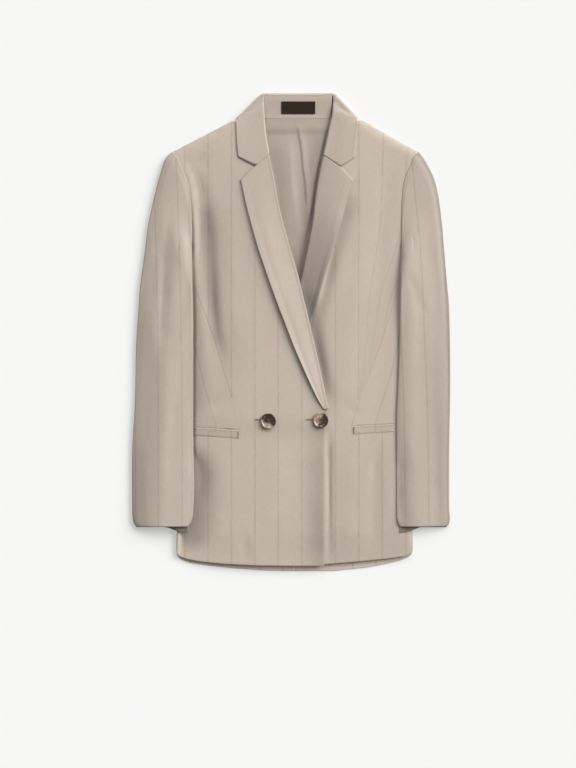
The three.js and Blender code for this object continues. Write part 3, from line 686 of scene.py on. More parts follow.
def cloth_material(name, tone_and_painted_light=1.0, striped=1.0, dart=0.0, edge_stitch=0.0, mouth=False, roll=None,
                   light_and_shade_ramp=None, painted_shade=0.0):
    """Fine wool twill with a sunk pinstripe. dart is the length of the sewn line in millimetres.

    edge_stitch is how far in the prick stitches run, and mouth paints the shadow of a welt's opening on its
    upper edge. roll paints shade along an edge or fold, darkest at it: share, from, to in mm. The ramp paints
    shade along one axis, and light where its last shade is above 1: axis, from, to in mm, and the last shade.
    The trough shade paints shade in troughs and on a turned side.
    """
    n = Nodes(name)
    vector, u, v = n.uv("grain")
    # The piece's tone scales the cloth colour: painted shade on the sleeves, the left lapel and the inside
    # pieces, painted light on the back.
    plain = [c * tone_and_painted_light for c in CLOTH_COLOUR]
    colour = n.tint(plain, 1.0)
    shade, height = twill(n, vector, u, v)
    if striped:
        line = n.times(pinstripe(n, vector, u), striped)
        colour = n.mix(line, colour, [c * f for c, f in zip(plain, STRIPE_TINT)] + [1])
        height = n.less(height, n.times(line, 0.3))
    normal = n.bump(height, 0.00022, 0.55)
    if dart:
        _, offset, run = n.uv("seam")
        inside = n.times(n.between(run, 0, 2), n.between(run, dart - 2, dart, 1, 0))
        groove = n.times(n.between(n.math("ABSOLUTE", offset), 0.25, 1.7, 1, 0), inside)
        shade, normal = n.sewn(shade, normal, groove, 0.08)
    if edge_stitch:
        _, inset, run = n.uv("edge")
        lane = n.between(n.math("ABSOLUTE", n.less(inset, edge_stitch)), *PRICK["half"], 1, 0)
        dash = n.between(n.math("FRACT", n.math("DIVIDE", run, PRICK["step"])), *PRICK["drawn"], 1, 0)
        shade, normal = n.sewn(shade, normal, n.times(lane, dash), 0.07)
    # The mouth's painted shadow: the welt's upper edge darkened where the pocket opens.
    if mouth:
        shade = n.dimmed(shade, n.between(inset, 0.3, 1.7, 1, 0), 0.3)
    # Painted shade along an edge or fold, darkest at it: the sleeves' lit rims, the lapels' rolls, the right
    # front's edge.
    if roll:
        deeper, start, end = roll
        shade = n.times(shade, n.between(n.uv("roll")[1], start, end, 1 - deeper, 1))
    # Painted shade in the troughs of the fronts and on the right sleeve's turned side.
    if painted_shade:
        shade = n.times(shade, n.between(n.uv("painted_shade")[1], 0.05, 1, 1, 1 - painted_shade))
    # A ramp of painted shade along one axis, and of painted light where the last shade is above 1.
    if light_and_shade_ramp:
        axis, start, end, last = light_and_shade_ramp
        shade = n.times(shade, n.between(n.part(n.position(), axis), start * MM, end * MM, 1, last))
    return n.finish({"Base Color": n.tint(colour, shade), "Normal": normal, **CLOTH_LOOKS})


def satin_material(name, colour):
    """Woven ribbon: fine ribs across, a little gloss."""
    n = Nodes(name)
    vector, _, v = n.uv("grain")
    rib = n.wave(v, 2 * math.pi / 0.0006)
    fleck = n.drawn_out(vector, (2600, 500, 1))
    shade = n.plus(n.between(fleck, 0.2, 0.8, 0.8, 1.2), n.times(rib, 0.06))
    normal = n.bump(n.math("MULTIPLY_ADD", rib, 0.5, fleck), 0.00012, 0.5)
    return n.finish({"Base Color": n.tint(colour, shade), "Normal": normal, **SATIN_LOOKS})


def thread_material(name, colour):
    n = Nodes(name)
    twist = n.wave(n.noise(n.position(), 900, 2), 40)
    colour = n.tint(colour, n.between(twist, -1, 1, 0.86, 1.08))
    return n.finish({"Base Color": colour, "Normal": n.bump(twist, 0.00008, 0.5), "Roughness": 0.6})


def horn_material(name, toward_patch, patch_from):
    """Dark marbled horn, polished, with a pale patch on one side."""
    n = Nodes(name)
    place = n.position()
    bent = n.noise(place, 130, 3, 0.55)
    streaks = n.drawn_out(place, (90, 260, 120), 1.6, 4, 0.6)
    a, b = toward_patch
    out = n.math("MULTIPLY_ADD", n.part(place, 0), a, n.times(n.part(place, 1), b))
    patch = n.between(n.math("MULTIPLY_ADD", bent, 0.012, out), patch_from, patch_from + 0.005)
    share = n.math("MAXIMUM", patch, n.between(streaks, 0.62, 0.76, 0, 0.75))
    pale = n.mix(n.between(bent, 0.35, 0.7), (0.3, 0.215, 0.145, 1), (0.47, 0.38, 0.29, 1))
    dark = n.mix(n.between(streaks, 0.3, 0.6), (0.022, 0.013, 0.009, 1), (0.06, 0.038, 0.026, 1))
    polish = n.bump(n.noise(place, 1400, 2), 0.00003, 0.4)
    return n.finish({"Base Color": n.mix(share, dark, pale), "Normal": polish, **HORN_LOOKS})


def length_of(points):
    return float(np.hypot(*np.diff(np.asarray(points, float), axis=0).T).sum() * GRID)


DART_LENGTH = {side: length_of(DART[side]) for side in DART}
# The looks of each cloth: the axis of a ramp is 0 for x and 1 for y. The darker tones, rolls, trough
# shade and darker ramps below are painted shade; the back's brighter tone and brighter hem are painted light.
CLOTHS = {
    "front_right": dict(dart=DART_LENGTH["right"], roll=(0.21, 0, 40), painted_shade=0.38),
    "front_left": dict(dart=DART_LENGTH["left"], painted_shade=0.3, light_and_shade_ramp=(1, py(430), py(500), 0.94)),
    "sleeve_right": dict(tone_and_painted_light=0.94, roll=(0.13, 1, 6), painted_shade=0.2),
    "sleeve_left": dict(tone_and_painted_light=0.93, roll=(0.28, 1, 6), light_and_shade_ramp=(1, py(215), py(470), 0.88)),
    # The under sleeve's inside face, nearly black: painted shadow inside the cuff.
    "sleeve_inside_shadow": dict(tone_and_painted_light=0.4, striped=0),
    # The back's brighter tone and its brighter hem strip, which the front's hem shades: painted light.
    "back": dict(tone_and_painted_light=1.04, light_and_shade_ramp=(1, py(545), py(566), 1.14)),
    "lapel_right": dict(tone_and_painted_light=1.01, striped=0.15, edge_stitch=4.0, roll=(0.18, 1, 6)),
    "lapel_left": dict(
        tone_and_painted_light=0.87, striped=0.4, edge_stitch=4.0, roll=(0.12, 1, 7), light_and_shade_ramp=(1, py(190), py(280), 0.7)),
    "collar": dict(tone_and_painted_light=0.985, striped=0, edge_stitch=4.0, light_and_shade_ramp=(0, px(310), px(336), 0.91)),
    "stand": dict(tone_and_painted_light=0.95, striped=0),
    # The inside of the back, seen in the neck opening, has a darker tone: painted shade.
    "inside": dict(tone_and_painted_light=0.82, striped=0),
    "pocket": dict(tone_and_painted_light=0.93, edge_stitch=2.2, mouth=True),
}
MATERIAL = {part: cloth_material(f"cloth_{part}", **looks) for part, looks in CLOTHS.items()}
LABEL_SATIN = satin_material("label_satin", (0.03, 0.018, 0.0115))
LABEL_THREAD = thread_material("label_thread", (0.06, 0.04, 0.028))
THREAD = thread_material("button_thread", (0.16, 0.115, 0.085))
HOLE_THREAD = thread_material("buttonhole_thread", (0.41, 0.34, 0.28))
# A dark tube along each buttonhole's cut: painted shadow in the slit.
SLIT_SHADOW = thread_material("buttonhole_slit_shadow", (0.1, 0.075, 0.058))
HORN = {
    "outer": horn_material("button_horn_outer", (-0.6, -0.8), 0.007),
    "inner": horn_material("button_horn_inner", (-0.97, 0.25), 0.0045),
}

SHEETS = []


def cloth_piece(node, mid, material, layers, rests_on=(), slot="cloth", kind="cloth", **form):
    """A shell that stands for its node and hides that node, kept with its own flat size, which is printed at
    the end.
    """
    made = shell(f"{kind}_{node}", mid, material, layers, **form)
    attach(made, "root")
    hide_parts(node)
    SHEETS.append((made, grid_size(mid), list(rests_on)))


# Body

UNDERARM_SHARE = 0.66


def side_y(vs, hem, top):
    low = lerp(hem, UNDERARM, vs / UNDERARM_SHARE)
    high = lerp(UNDERARM, top, (vs - UNDERARM_SHARE) / (1 - UNDERARM_SHARE))
    return np.where(vs < UNDERARM_SHARE, low, high)


def body_panel(side, edge, inset, hem, top, surface, us, vs):
    out = OUTWARD[side]
    oy = side_y(vs, hem[-1][1], SHOULDER[side]["point"][1])
    outer = stacked(table_at(SIDE_LINE, oy, COLUMN[side]) - out * SEAM / GRID, oy)
    iy = side_y(vs, hem[0][1], top[0][1])
    inner = stacked(edge(iy) + out * inset(iy) / GRID, iy)
    bottom = along([inner[0], *hem[1:-1], outer[0]], us)
    upper = along([inner[-1], *top[1:-1], outer[-1]], us)
    place = between(inner, outer, bottom, upper, us, vs)
    return surface_points(place, lambda x, y: surface(side, x, y))


def roll_inset(y):
    return (ROLL + SEAM + 0.2) * smooth(LAPEL_END + 4, LAPEL_END - 1, y)


POCKET_TOP = 431
LEAN_FROM = {"right": 280, "left": 276}


def front_stripe(side, x, y):
    """Number of stripes from the first one, with the lean beside the dart."""
    gx, gy = pattern_x(x), pattern_y(y)
    straight = (gx - STRIPE_START[side]) / STRIPE
    offset, _ = beside(DART[side], x, y)
    above_pocket, below_armhole = gy < POCKET_TOP, gy > LEAN_FROM[side]
    if side == "right":
        leaning = -1 + (gx - table_at(LEANING[side], gy)) / STRIPE
        return np.where(above_pocket & (offset < 0) & below_armhole, leaning, straight)
    bend = table_at(BENT_LEFT, gy)
    first = STRIPE_START["left"] + STRIPE
    straight_above = np.where(gx > first, 1 + (gx - first) / (bend - first), straight)
    leaning = 3 + (gx - table_at(LEANING[side], gy)) / STRIPE
    beyond = np.where((offset > 0) & below_armhole, leaning, straight_above)
    return np.where(above_pocket, beyond, straight)


# The painted shade in a trough grows with its depth.
DEEPEST = 6  # a trough this deep has its full shade
NEAR_SIDE = (0.0015, 0.004, 0.009, 0.015, 0.022, 0.03)
NEAR_HEM = (0.0012, 0.003)
NEAR_SHOULDER = (*NEAR_HEM, 0.008, 0.013, 0.018)
NEAR_POCKET = np.linspace(0.262, 0.298, 48)
FRONT_US = graded(150, (0.002, 0.006, 0.012), NEAR_SIDE)
FRONT_VS = graded(200, (*NEAR_HEM, *NEAR_POCKET), NEAR_SHOULDER)
BACK_US = graded(60, (0.002,), NEAR_SIDE)
BACK_VS = graded(80, NEAR_HEM, (*NEAR_SHOULDER, 0.024, 0.03))


def make_front(side):
    def edge(y):
        return table_at(EDGE[side], y)

    top = [FRONT_NECK[side], *NECK_TOP[side]]
    mid = body_panel(side, edge, roll_inset, HEM_FRONT[side], top, front_surface, FRONT_US, FRONT_VS)
    x, y = mid[..., 0], mid[..., 1]
    offset, run = beside(DART[side], x, y)
    layers = {
        "grain": grain(mid, front_stripe(side, x, y)),
        "seam": stacked(offset, run * DART_LENGTH[side]),
        # Painted shade in the troughs, deeper in deeper ones.
        "painted_shade": both(np.clip(-front_folds(side, x, y) / DEEPEST, 0, 1)),
        # Distance from the front edge, for the painted shade along it.
        "roll": both(np.abs(x - px(edge(pattern_y(y))))),
    }
    cloth_piece(f"front_{side}", mid, MATERIAL[f"front_{side}"], layers, [f"cloth_back_{side}"],
                flip=side == "right")


def make_back(side):
    top = [[CENTRE_BACK, NECK_SEAM], BACK_NECK[side], *NECK_TOP[side]]
    mid = body_panel(side, lambda y: CENTRE_BACK + 0 * y, lambda y: SEAM / 2 + 0 * y, HEM_BACK[side], top,
                     back_surface, BACK_US, BACK_VS)
    stripe = (pattern_x(mid[..., 0]) - CENTRE_BACK) / STRIPE + 0.5
    cloth_piece(f"back_{side}", mid, MATERIAL["back"], {"grain": grain(mid, stripe)}, flip=side == "right")


for side in SIDES:
    make_front(side)
    make_back(side)

# Sleeves

CUFF = {"y": 526, "inner": 0, "outer": 0}
UNDER_CUFF = {"y": 526, "inner": 6, "outer": 1}
LAP = 1.5  # the upper sleeve's seam lies this far over the body
OVER_BODY = SIDE_TOP + CLOTH + SEAM + 0.2
# Where the upper sleeve comes down from the body beside the side seam: from, to, and further in near the top.
SLEEVE_FALL = {"right": (-79, -20, 20), "left": (-46, 6, 0)}
UPPER_RISE = (-6, 92)  # above the underarm the tube comes down from the body within this height
UNDER_RISE = (8, 30)
SEAM_DIP = 1.1  # the armhole seam is pressed this far down
CAP_FULLER = 1.5  # how much fuller the sleeve is toward its top
STEEP = 2.7  # how much higher the seam lies where the shoulder falls away
INNER_FOLD = 2.2  # height of the inner fold over the body
INNER_THIN = 2.2  # the sleeve lies this much flatter along its inner fold
FOLD_NEAR = (0.002, 0.006, 0.012, 0.02, 0.03, 0.045, 0.06, 0.08, 0.1)
SLEEVE_US = graded(56, FOLD_NEAR, FOLD_NEAR)
SLEEVE_VS = graded(150, (0.0015, 0.003, 0.0045, 0.009, 0.011, 0.016), (0.0015, 0.004))


def sleeve_place(side, lap, cuff, us, vs):
    c = COLUMN[side]
    shift = -OUTWARD[side] * lap / GRID
    iy = lerp(UNDERARM, cuff["y"] + cuff["inner"], vs)
    oy = lerp(SHOULDER[side]["point"][1], cuff["y"] + cuff["outer"], vs)
    inner = stacked(table_at(SLEEVE_INNER, iy, c), iy)
    outer = stacked(table_at(SLEEVE_OUTER, oy, c), oy)
    ty = lerp(UNDERARM, SHOULDER[side]["point"][1], us)
    seam = table_at(SIDE_LINE, ty, c) + shift * window(0, 0.012, 0.92, 1, us)
    top = stacked(lerp(seam, outer[0][0], smooth(0.97, 1, us)), ty)
    bottom = lerp(inner[-1], outer[-1], us[:, None])
    bottom[:, 1] = cuff["y"] + lerp(cuff["inner"], cuff["outer"], smooth(0.06, 0.5, us))
    return between(inner, outer, top, bottom, us, vs)


def sleeve_points(side, upper, us, vs):
    ends = sleeve_place(side, 0, CUFF, np.array([0.0, 1.0]), vs)
    width = np.hypot(*(ends[:, 0] - ends[:, 1]).T)[:, None] * GRID
    lap, cuff, fall = (LAP, CUFF, UPPER_RISE) if upper else (-2 * SEAM, UNDER_CUFF, UNDER_RISE)
    place = sleeve_place(side, lap, cuff, us, vs)
    x, y = px(place[..., 0]), py(place[..., 1])
    u, v = us[None, :], vs[:, None]
    edge = rounded(np.minimum(u, 1 - u) * width / SLEEVE_ROUND)
    inside = in_from_side(side, x, y)
    above = y - py(UNDERARM)
    rise = (OVER_BODY - FLOOR) * (1 - smooth(*fall, above))
    half = SLEEVE_HEIGHT / 2
    fold = np.where(u < 0.5, OVER_BODY + lerp(1, INNER_FOLD, smooth(0, 0.12, v)), FLOOR + half)
    if not upper:
        z = lerp(fold - TIP, FLOOR + rise * smooth(-13, -1, inside), edge)
        return stacked(x, y, z)
    full = SLEEVE_HEIGHT + CAP_FULLER * smooth(0.5, 0, v)
    full = full - INNER_THIN * smooth(0.45, 0, u) * smooth(0.05, 0.4, v)
    low, high, further = SLEEVE_FALL[side]
    further = further * smooth(py(330), py(270), y)
    tube = FLOOR + rise * smooth(low + further, high + further, inside) + full
    tube = tube + folded(SLEEVE_FOLDS[side], x, y) * smooth(0.02, 0.14, v)
    at_fold = 1 - smooth(0, 25, above)
    steep = STEEP * (1 - rounded(below_shoulder(side, x, y) / SHOULDER_ROUND))
    seam = front_height(side, x, y) + CLOTH + SEAM + 0.1 + steep - SEAM_DIP * smooth(0.016, 0, v)
    seam = lerp(seam, fold + TIP, at_fold)
    z = lerp(fold + TIP, lerp(seam, tube, smooth(0.01, 0.17, v)), edge)
    return stacked(x, y, z)


# The right sleeve turns away from the light at its outer fold, and shade is painted there: the width of that
# painted shade, its heights and its least share.
TURNED_PAINTED_SHADE = {"width": (34, 12), "heights": (py(410), py(490)), "least": 0.4}


def make_sleeve(side, part):
    mid = sleeve_points(side, part == "upper", SLEEVE_US, SLEEVE_VS)
    x, y = mid[..., 0], mid[..., 1]
    stripe = (pattern_x(x) - table_at(SLEEVE_STRIPE[side], pattern_y(y))) / STRIPE
    inner, outer = x[:, :1], x[:, -1:]
    lower_down = lerp(TURNED_PAINTED_SHADE["least"], 1, smooth(*TURNED_PAINTED_SHADE["heights"], y))
    turned = smooth(*TURNED_PAINTED_SHADE["width"], np.abs(x - outer)) * lower_down
    layers = {
        "grain": grain(mid, stripe),
        # Distance from the fold that faces the light, for the painted shade on its rim.
        "roll": both(np.abs(x - (inner if side == "right" else outer))),
        # Painted shade on the right sleeve's outer side, where it turns from the light.
        "painted_shade": both(turned * (side == "right")),
    }
    lower = [f"cloth_sleeve_{side}_under"] if part == "upper" else []
    # The under sleeve's upper face is painted dark: painted shadow seen inside the cuff.
    inside = MATERIAL["sleeve_inside_shadow"] if part == "under" else None
    cloth_piece(f"sleeve_{side}_{part}", mid, MATERIAL[f"sleeve_{side}"], layers,
                [f"cloth_front_{side}", *lower], flip=side == "left", upper_face=inside)


for side in SIDES:
    make_sleeve(side, "upper")
    make_sleeve(side, "under")

# Lapels

# Steps round the roll of a lapel: distance in from its edge, and share of its rise.
ROLL_ANGLES = np.radians(np.linspace(-90, 90, 11))
ROLL_STEPS = [(ROLL * (1 - math.cos(a)), (1 + math.sin(a)) / 2) for a in ROLL_ANGLES]
FLAP = graded(34, (0.01,), (0.01, 0.022))[1:]
LAPEL_VS = graded(170, (0.002, 0.005), (0.0015, 0.004))
# How far the middle of each lapel stands off the front, and its free edge, in millimetres: v, middle, edge.
LAPEL_SPRING = {
    "right": [[0, 0, 0.1], [0.1, 1.4, 2.8], [0.4, 2.2, 3.6], [0.7, 1.6, 2.6], [0.9, 0.6, 1.2], [1, 0, 0]],
    "left": [
        [0, 0, 0], [0.38, 0.2, 1.4], [0.5, 1.0, 3.8], [0.62, 2.2, 5.2], [0.8, 2.8, 4.6],
        [0.92, 1.2, 1.2], [1, -0.2, -1.0],
    ],
}
TUCK = 0.7  # the lapel's seam edge lies this far under the collar
TUCK_DOWN = 0.55
STEEPEST = 0.45  # the roll takes no more of a narrow lapel's width
STRIPE_IN = 13  # a stripe runs this far in from the free edge
STRAIGHT = 0.72  # share of the width where the spring has its middle value


def lapel_points(side):
    free = LAPEL_EDGE[side]
    notch, roll = GORGE[side]["notch"], GORGE[side]["roll"]
    top_line = [roll, notch, [free[0][1], free[0][0]]]
    rows, edges, rolls = [], [], []
    for v in LAPEL_VS:
        roll_y, free_y = lerp(LAPEL_END, roll[1], v), lerp(LAPEL_END, free[0][0], v)
        start = np.array([table_at(EDGE[side], roll_y), roll_y])
        end = np.array([table_at(free, free_y), free_y])
        gap = np.hypot(*(end - start)) * GRID
        rolled = np.array([[min(d, gap * STEEPEST) / gap, up] for d, up in ROLL_STEPS])
        rolled_xy = start + (end - start) * rolled[:, :1]
        share = lerp(min(ROLL, gap * STEEPEST) / gap, 1, FLAP)
        flap_xy = lerp(start + (end - start) * share[:, None], along(top_line, share), smooth(0.85, 1, v))
        flap_xy[:, 1] -= TUCK / GRID * smooth(0.985, 1, v)
        middle, at_edge = (table_at(LAPEL_SPRING[side], v, column) for column in (1, 2))
        lift = middle * np.sin(np.pi * np.minimum(FLAP / STRAIGHT, 1) / 2) ** 1.5
        lift = lerp(lift, at_edge, smooth(STRAIGHT, 1, FLAP))
        xy = np.concatenate([rolled_xy, flap_xy])
        x, y = px(xy[:, 0]), py(xy[:, 1])
        up = np.concatenate([rolled[:, 1] * LAYER, LAYER + lift]) - TUCK_DOWN * smooth(0.99, 1, v)
        rows.append(stacked(x, y, front_surface(side, x, y) + up))
        across = np.concatenate([rolled[:, 0], share])
        edges.append(stacked((1 - across) * gap, -py(end[1])))
        # Distance in from the roll line, for the painted shade along the roll.
        rolls.append(both(across * gap))
    return np.array(rows), np.array(edges), np.array(rolls)


for side in SIDES:
    mid, edges, rolls = lapel_points(side)
    stripe = (edges[..., 0] - STRIPE_IN) / (STRIPE * GRID)
    layers = {"grain": grain(mid, stripe), "edge": edges, "roll": rolls}
    cloth_piece(f"lapel_{side}", mid, MATERIAL[f"lapel_{side}"], layers, [f"cloth_front_{side}"],
                flip=side == "right", flush=("last",))

# Collar

# Sections of the leaf from its point to the back of the neck: the rolled edge, the free edge, and the point
# where it bends or turns under, or how far its points gather at the free edge.
COLLAR = {
    "right": [
        ([269.15, 155.7], [238.2, 157.4], {"bend": [256.3, 166.8], "layer": 2.2}),
        ([268, 148], [237.6, 152], {"bend": [253, 154.5]}),
        ([266.6, 140], [237, 145], {"gather": 0.3}),
        ([265.4, 130], [236.6, 136], {"gather": 0.7}),
        ([264.6, 121], [236.4, 127], {"gather": 1}),
        ([264.4, 117.8], [236.3, 121.2], {"gather": 1}),
        ([264.2, 114.5], [237.6, 120.8], {"turn": [236.7, 118.9]}),
        ([264.1, 111.5], [241, 122.8], {"turn": [239.3, 116.2]}),
        ([264, 108], [245, 124], {"turn": [242.5, 113.5]}),
        ([263.8, 103], [252, 125], {"turn": [249.5, 106.5]}),
        ([263.9, 99], [259, 125], {"turn": [256.5, 99.6]}),
        ([265, 96.4], [266, 125], {"turn": [263, 94.2]}),
    ],
    "left": [
        ([323.6, 156.2], [354.8, 158.2], {"bend": [340.1, 167.7], "layer": 2.2}),
        ([325.2, 148.6], [355.2, 152], {"bend": [340.5, 155]}),
        ([326.9, 140], [355.6, 145], {"gather": 0.3}),
        ([329, 130], [356, 136], {"gather": 0.7}),
        ([331, 121], [356.6, 127], {"gather": 1}),
        ([331.7, 117.8], [357.2, 121.2], {"gather": 1}),
        ([332.3, 114.5], [356, 120.8], {"turn": [357.1, 118.6]}),
        ([332.6, 111.5], [352.4, 122.8], {"turn": [354.6, 115.3]}),
        ([332.8, 108], [348.5, 124], {"turn": [351.3, 111.9]}),
        ([333.1, 103], [341.5, 125], {"turn": [345.4, 105.6]}),
        ([333, 99], [336, 125], {"turn": [339.6, 99.4]}),
        ([332, 96.4], [329.6, 125], {"turn": [333.6, 94.2]}),
    ],
}
TOP_FOLD = 94
LEAF_BACK = 125
NECK_XS = (272, 284, 297, 310, 322)
LEAF_WIDTH = 45
TURN_RADIUS = 3.2
LEAF_LAYER = LAYER + 0.25
# Distances from the free edge of the last points of a section that is about to turn under.
GATHERED = [3.6, 2.6, 1.9, 1.3, 0.8, 0.4, 0]
QUARTERS = (0.25, 0.5, 0.75)
# Steps of the rolled edge: distance in from it, and share of the leaf's height.
LEAF_ROLL = [(ROLL, 0.02), (0.7, 0.15), (0, 0.5), (0.7, 0.85), (ROLL, 1)]
# The leaf's turn at the back of the neck: steps down from the top fold, and heights.
NECK_TURN = [
    (2.4, 8.3), (2, 8.3), (1.6, 8.22), (1.2, 8.05), (0.9, 7.8), (0.62, 7.4), (0.4, 6.9), (0.2, 6.2),
    (0.08, 5.4), (0, 4.4), (0.12, 3), (0.6, 1.7), (1.8, 0.9),
]


def toward(p, q, d):
    share = d / GRID / math.hypot(q[0] - p[0], q[1] - p[1])
    return [lerp(p[0], q[0], share), lerp(p[1], q[1], share)]


FREE_LAYER = {"right": 2.3, "left": 0.9}  # from the front's middle to the leaf's at its free edge


def leaf_section(side, roll, free, turn=None, bend=None, gather=0, layer=LEAF_LAYER):
    """Rolled edge, three points on top and seven points of the tail, as pattern x, y and height."""

    def level(p):
        at = px(p[0]), py(p[1])
        lift = overlap_lift(*at) if side == "right" else 0
        return float(front_height(side, *at) + front_folds(side, *at) + lift)

    first = turn or bend or free
    start = level(roll)
    section = [[*toward(roll, first, out), start + layer * up] for out, up in LEAF_ROLL]
    roll_end = toward(roll, first, ROLL)
    if turn is None:
        line = [roll_end, *([bend] if bend else []), free]
        width = math.hypot(free[0] - roll_end[0], free[1] - roll_end[1]) * GRID
        gathered = [*QUARTERS, *[1 - d / width for d in GATHERED]]
        for k, share in enumerate(gathered, 1):
            at = lerp(k / len(gathered), share, gather)
            p = along(line, at)
            off_front = lerp(layer, min(layer, FREE_LAYER[side]), smooth(0.45, 1, at))
            section.append([*p, level(p) + off_front])
        return section
    shoulder = toward(turn, roll, TURN_RADIUS)
    height = 2 * TURN_RADIUS + FLOOR
    for share in QUARTERS:
        p = along([roll_end, shoulder], share)
        section.append([*p, max(level(p) + LEAF_LAYER, height)])
    under = toward(turn, free, TURN_RADIUS)
    return [
        *section,
        [*shoulder, max(level(shoulder) + LEAF_LAYER - 0.3, height)],
        [*toward(turn, roll, TURN_RADIUS * 0.3), FLOOR + TURN_RADIUS * 1.7],
        [*turn, FLOOR + TURN_RADIUS],
        [*toward(turn, free, TURN_RADIUS * 0.3), FLOOR + TURN_RADIUS * 0.3],
        [*under, FLOOR],
        [*along([under, free], 0.5), FLOOR],
        [*free, FLOOR],
    ]


def neck_section(x):
    """The leaf across the back of the neck: over the top fold and down to the table."""
    turned = [[x, TOP_FOLD + down, z] for down, z in NECK_TURN]
    return [*turned, [x, TOP_FOLD + 12, FLOOR], [x, LEAF_BACK, FLOOR]]


def finer(points, count, axis):
    """The same curved sheet with count points for each one along an axis."""
    points = np.moveaxis(points, axis, 0)
    last = len(points) - 1
    t = np.linspace(0, last, last * count + 1)
    keys = np.arange(last + 1)
    flat = points.reshape(last + 1, -1)
    fine = np.stack([table_at(np.stack([keys, column], axis=1), t) for column in flat.T], axis=1)
    return np.moveaxis(fine.reshape(len(t), *points.shape[1:]), 0, axis)


sections = [leaf_section("right", roll, free, **more) for roll, free, more in COLLAR["right"]]
sections += [neck_section(x) for x in NECK_XS]
sections += [leaf_section("left", roll, free, **more) for roll, free, more in reversed(COLLAR["left"])]
coarse = np.array(sections)
coarse = stacked(px(coarse[..., 0]), py(coarse[..., 1]), coarse[..., 2])[::-1]
mid = finer(finer(coarse, 5, 0), 3, 1)
mid[..., 2] = np.maximum(mid[..., 2], FLOOR)
across = np.linspace(1, 0, mid.shape[1]) * LEAF_WIDTH
layers = {"grain": mid[..., :2] * MM, "edge": stacked(across, mid[..., 1])}
cloth_piece("collar_fall", mid, MATERIAL["collar"], layers, ["cloth_front_right", "cloth_front_left"],
            flush=("first", "last", "start"))

STAND = {"top": 96, "bottom": 118.8, "left": [264.6, 264.4], "right": [330.4, 332], "heights": (4.85, 8.12)}


def stand_height(x, y):
    return lerp(*STAND["heights"], smooth(py(NECK_SEAM), py(STAND["top"] + 1), y))


def ruled(us, vs, left, right, bottom, top):
    """Pattern points between two upright lines, each given by its foot and its head."""
    v = vs[:, None]
    return stacked(lerp(lerp(*left, v), lerp(*right, v), us), lerp(bottom, top, v))


place = ruled(graded(60, (0.006,), (0.006,)), graded(24, (0.02,), (0.02,)),
              STAND["left"], STAND["right"], STAND["bottom"], STAND["top"])
mid = surface_points(place, stand_height)
BACKS = ["cloth_back_right", "cloth_back_left"]
cloth_piece("collar_stand", mid, MATERIAL["stand"], {"grain": mid[..., :2] * MM}, BACKS,
            flush=("first", "last", "start", "end"))

# Inside of the back

PLEAT = [[118, 296], [132, 299], [150, 302], [168, 303.6], [181, 305.5], [200, 307], [218, 307.3], [300, 306]]
PLEAT_HEIGHT = 1.5
INNER_TOP, INNER_BOTTOM = 118.4, 300
INNER_BACK = [
    [INNER_TOP, 266, 330], [124, 262, 335], [134, 256, 339], [160, 256, 336], [220, 262, 330],
    [INNER_BOTTOM, 272, 326],
]


def inner_height(x, y):
    off = x - px(table_at(PLEAT, pattern_y(y)))
    # The pleat's fold stands on its left side and runs out flat to the right.
    width = np.where(off < 0, 1.6, 6.5)
    pleat = PLEAT_HEIGHT * np.exp(-((off / width) ** 2)) * window(py(226), py(190), py(142), py(120), y)
    inside = folded(INNER_FOLDS, x, y) * smooth(py(118), py(142), y)
    return FLOOR + CLOTH + SEAM + 0.2 + NECK_LIFT * near_neck(y) + pleat + np.maximum(inside, -0.2)


us, vs = graded(110, (0.004,), (0.004,)), graded(120, (0.002,), (0.002,))
gy = lerp(INNER_TOP, INNER_BOTTOM, vs)[:, None]
place = stacked(lerp(table_at(INNER_BACK, gy, 1), table_at(INNER_BACK, gy, 2), us), gy)
mid = surface_points(place, inner_height)
cloth_piece("inner_back", mid, MATERIAL["inside"], {"grain": mid[..., :2] * MM}, BACKS, slot="inside_cloth",
            flip=True, flush=("first", "last"))

# Pockets and label

WELT_THICK = 0.7
WELT_CLEAR = 0.05  # between the welt and the front
WELT_LIP = 0.1  # how much higher its upper edge stands


def make_welt(side):
    top, bottom = np.array(POCKET[side]["top"]), np.array(POCKET[side]["bottom"])
    u, v = graded(70, (0.006, 0.014), (0.006, 0.014)), graded(16, (0.03,), (0.03,))[:, None]
    place = lerp(lerp(bottom[0], bottom[1], u[:, None]), lerp(top[0], top[1], u[:, None]), v[..., None])
    sewn = smooth(0, 0.22, v) * window(0, 0.04, 0.96, 1, u)
    lift = CLOTH / 2 + (WELT_THICK / 2 + WELT_CLEAR) * sewn + WELT_LIP * smooth(0.6, 1, v)
    mid = surface_points(place, lambda x, y: front_surface(side, x, y) + lift)
    inset = (1 - v) * np.hypot(*(top[0] - bottom[0])) * GRID
    layers = {
        "grain": grain(mid, front_stripe(side, mid[..., 0], mid[..., 1])),
        "edge": stacked(inset, mid[..., 0]),
    }
    cloth_piece(f"pocket_{side}", mid, MATERIAL["pocket"], layers, [f"cloth_front_{side}"], thick=WELT_THICK)


for side in SIDES:
    make_welt(side)

us, vs = graded(60, (0.01,), (0.01,)), graded(24, (0.02,), (0.02,))
place = ruled(us, vs, [LABEL["left"]] * 2, [LABEL["right"]] * 2, LABEL["bottom"], LABEL["top"])
mid = surface_points(place, lambda x, y: stand_height(x, y) + CLOTH / 2 + SEAM + LABEL["thick"] / 2)
cloth_piece("neck_label", mid, LABEL_SATIN, {"grain": mid[..., :2] * MM}, ["cloth_collar_stand"],
            slot="label", kind="satin", thick=LABEL["thick"])

# Threads, buttonholes and buttons

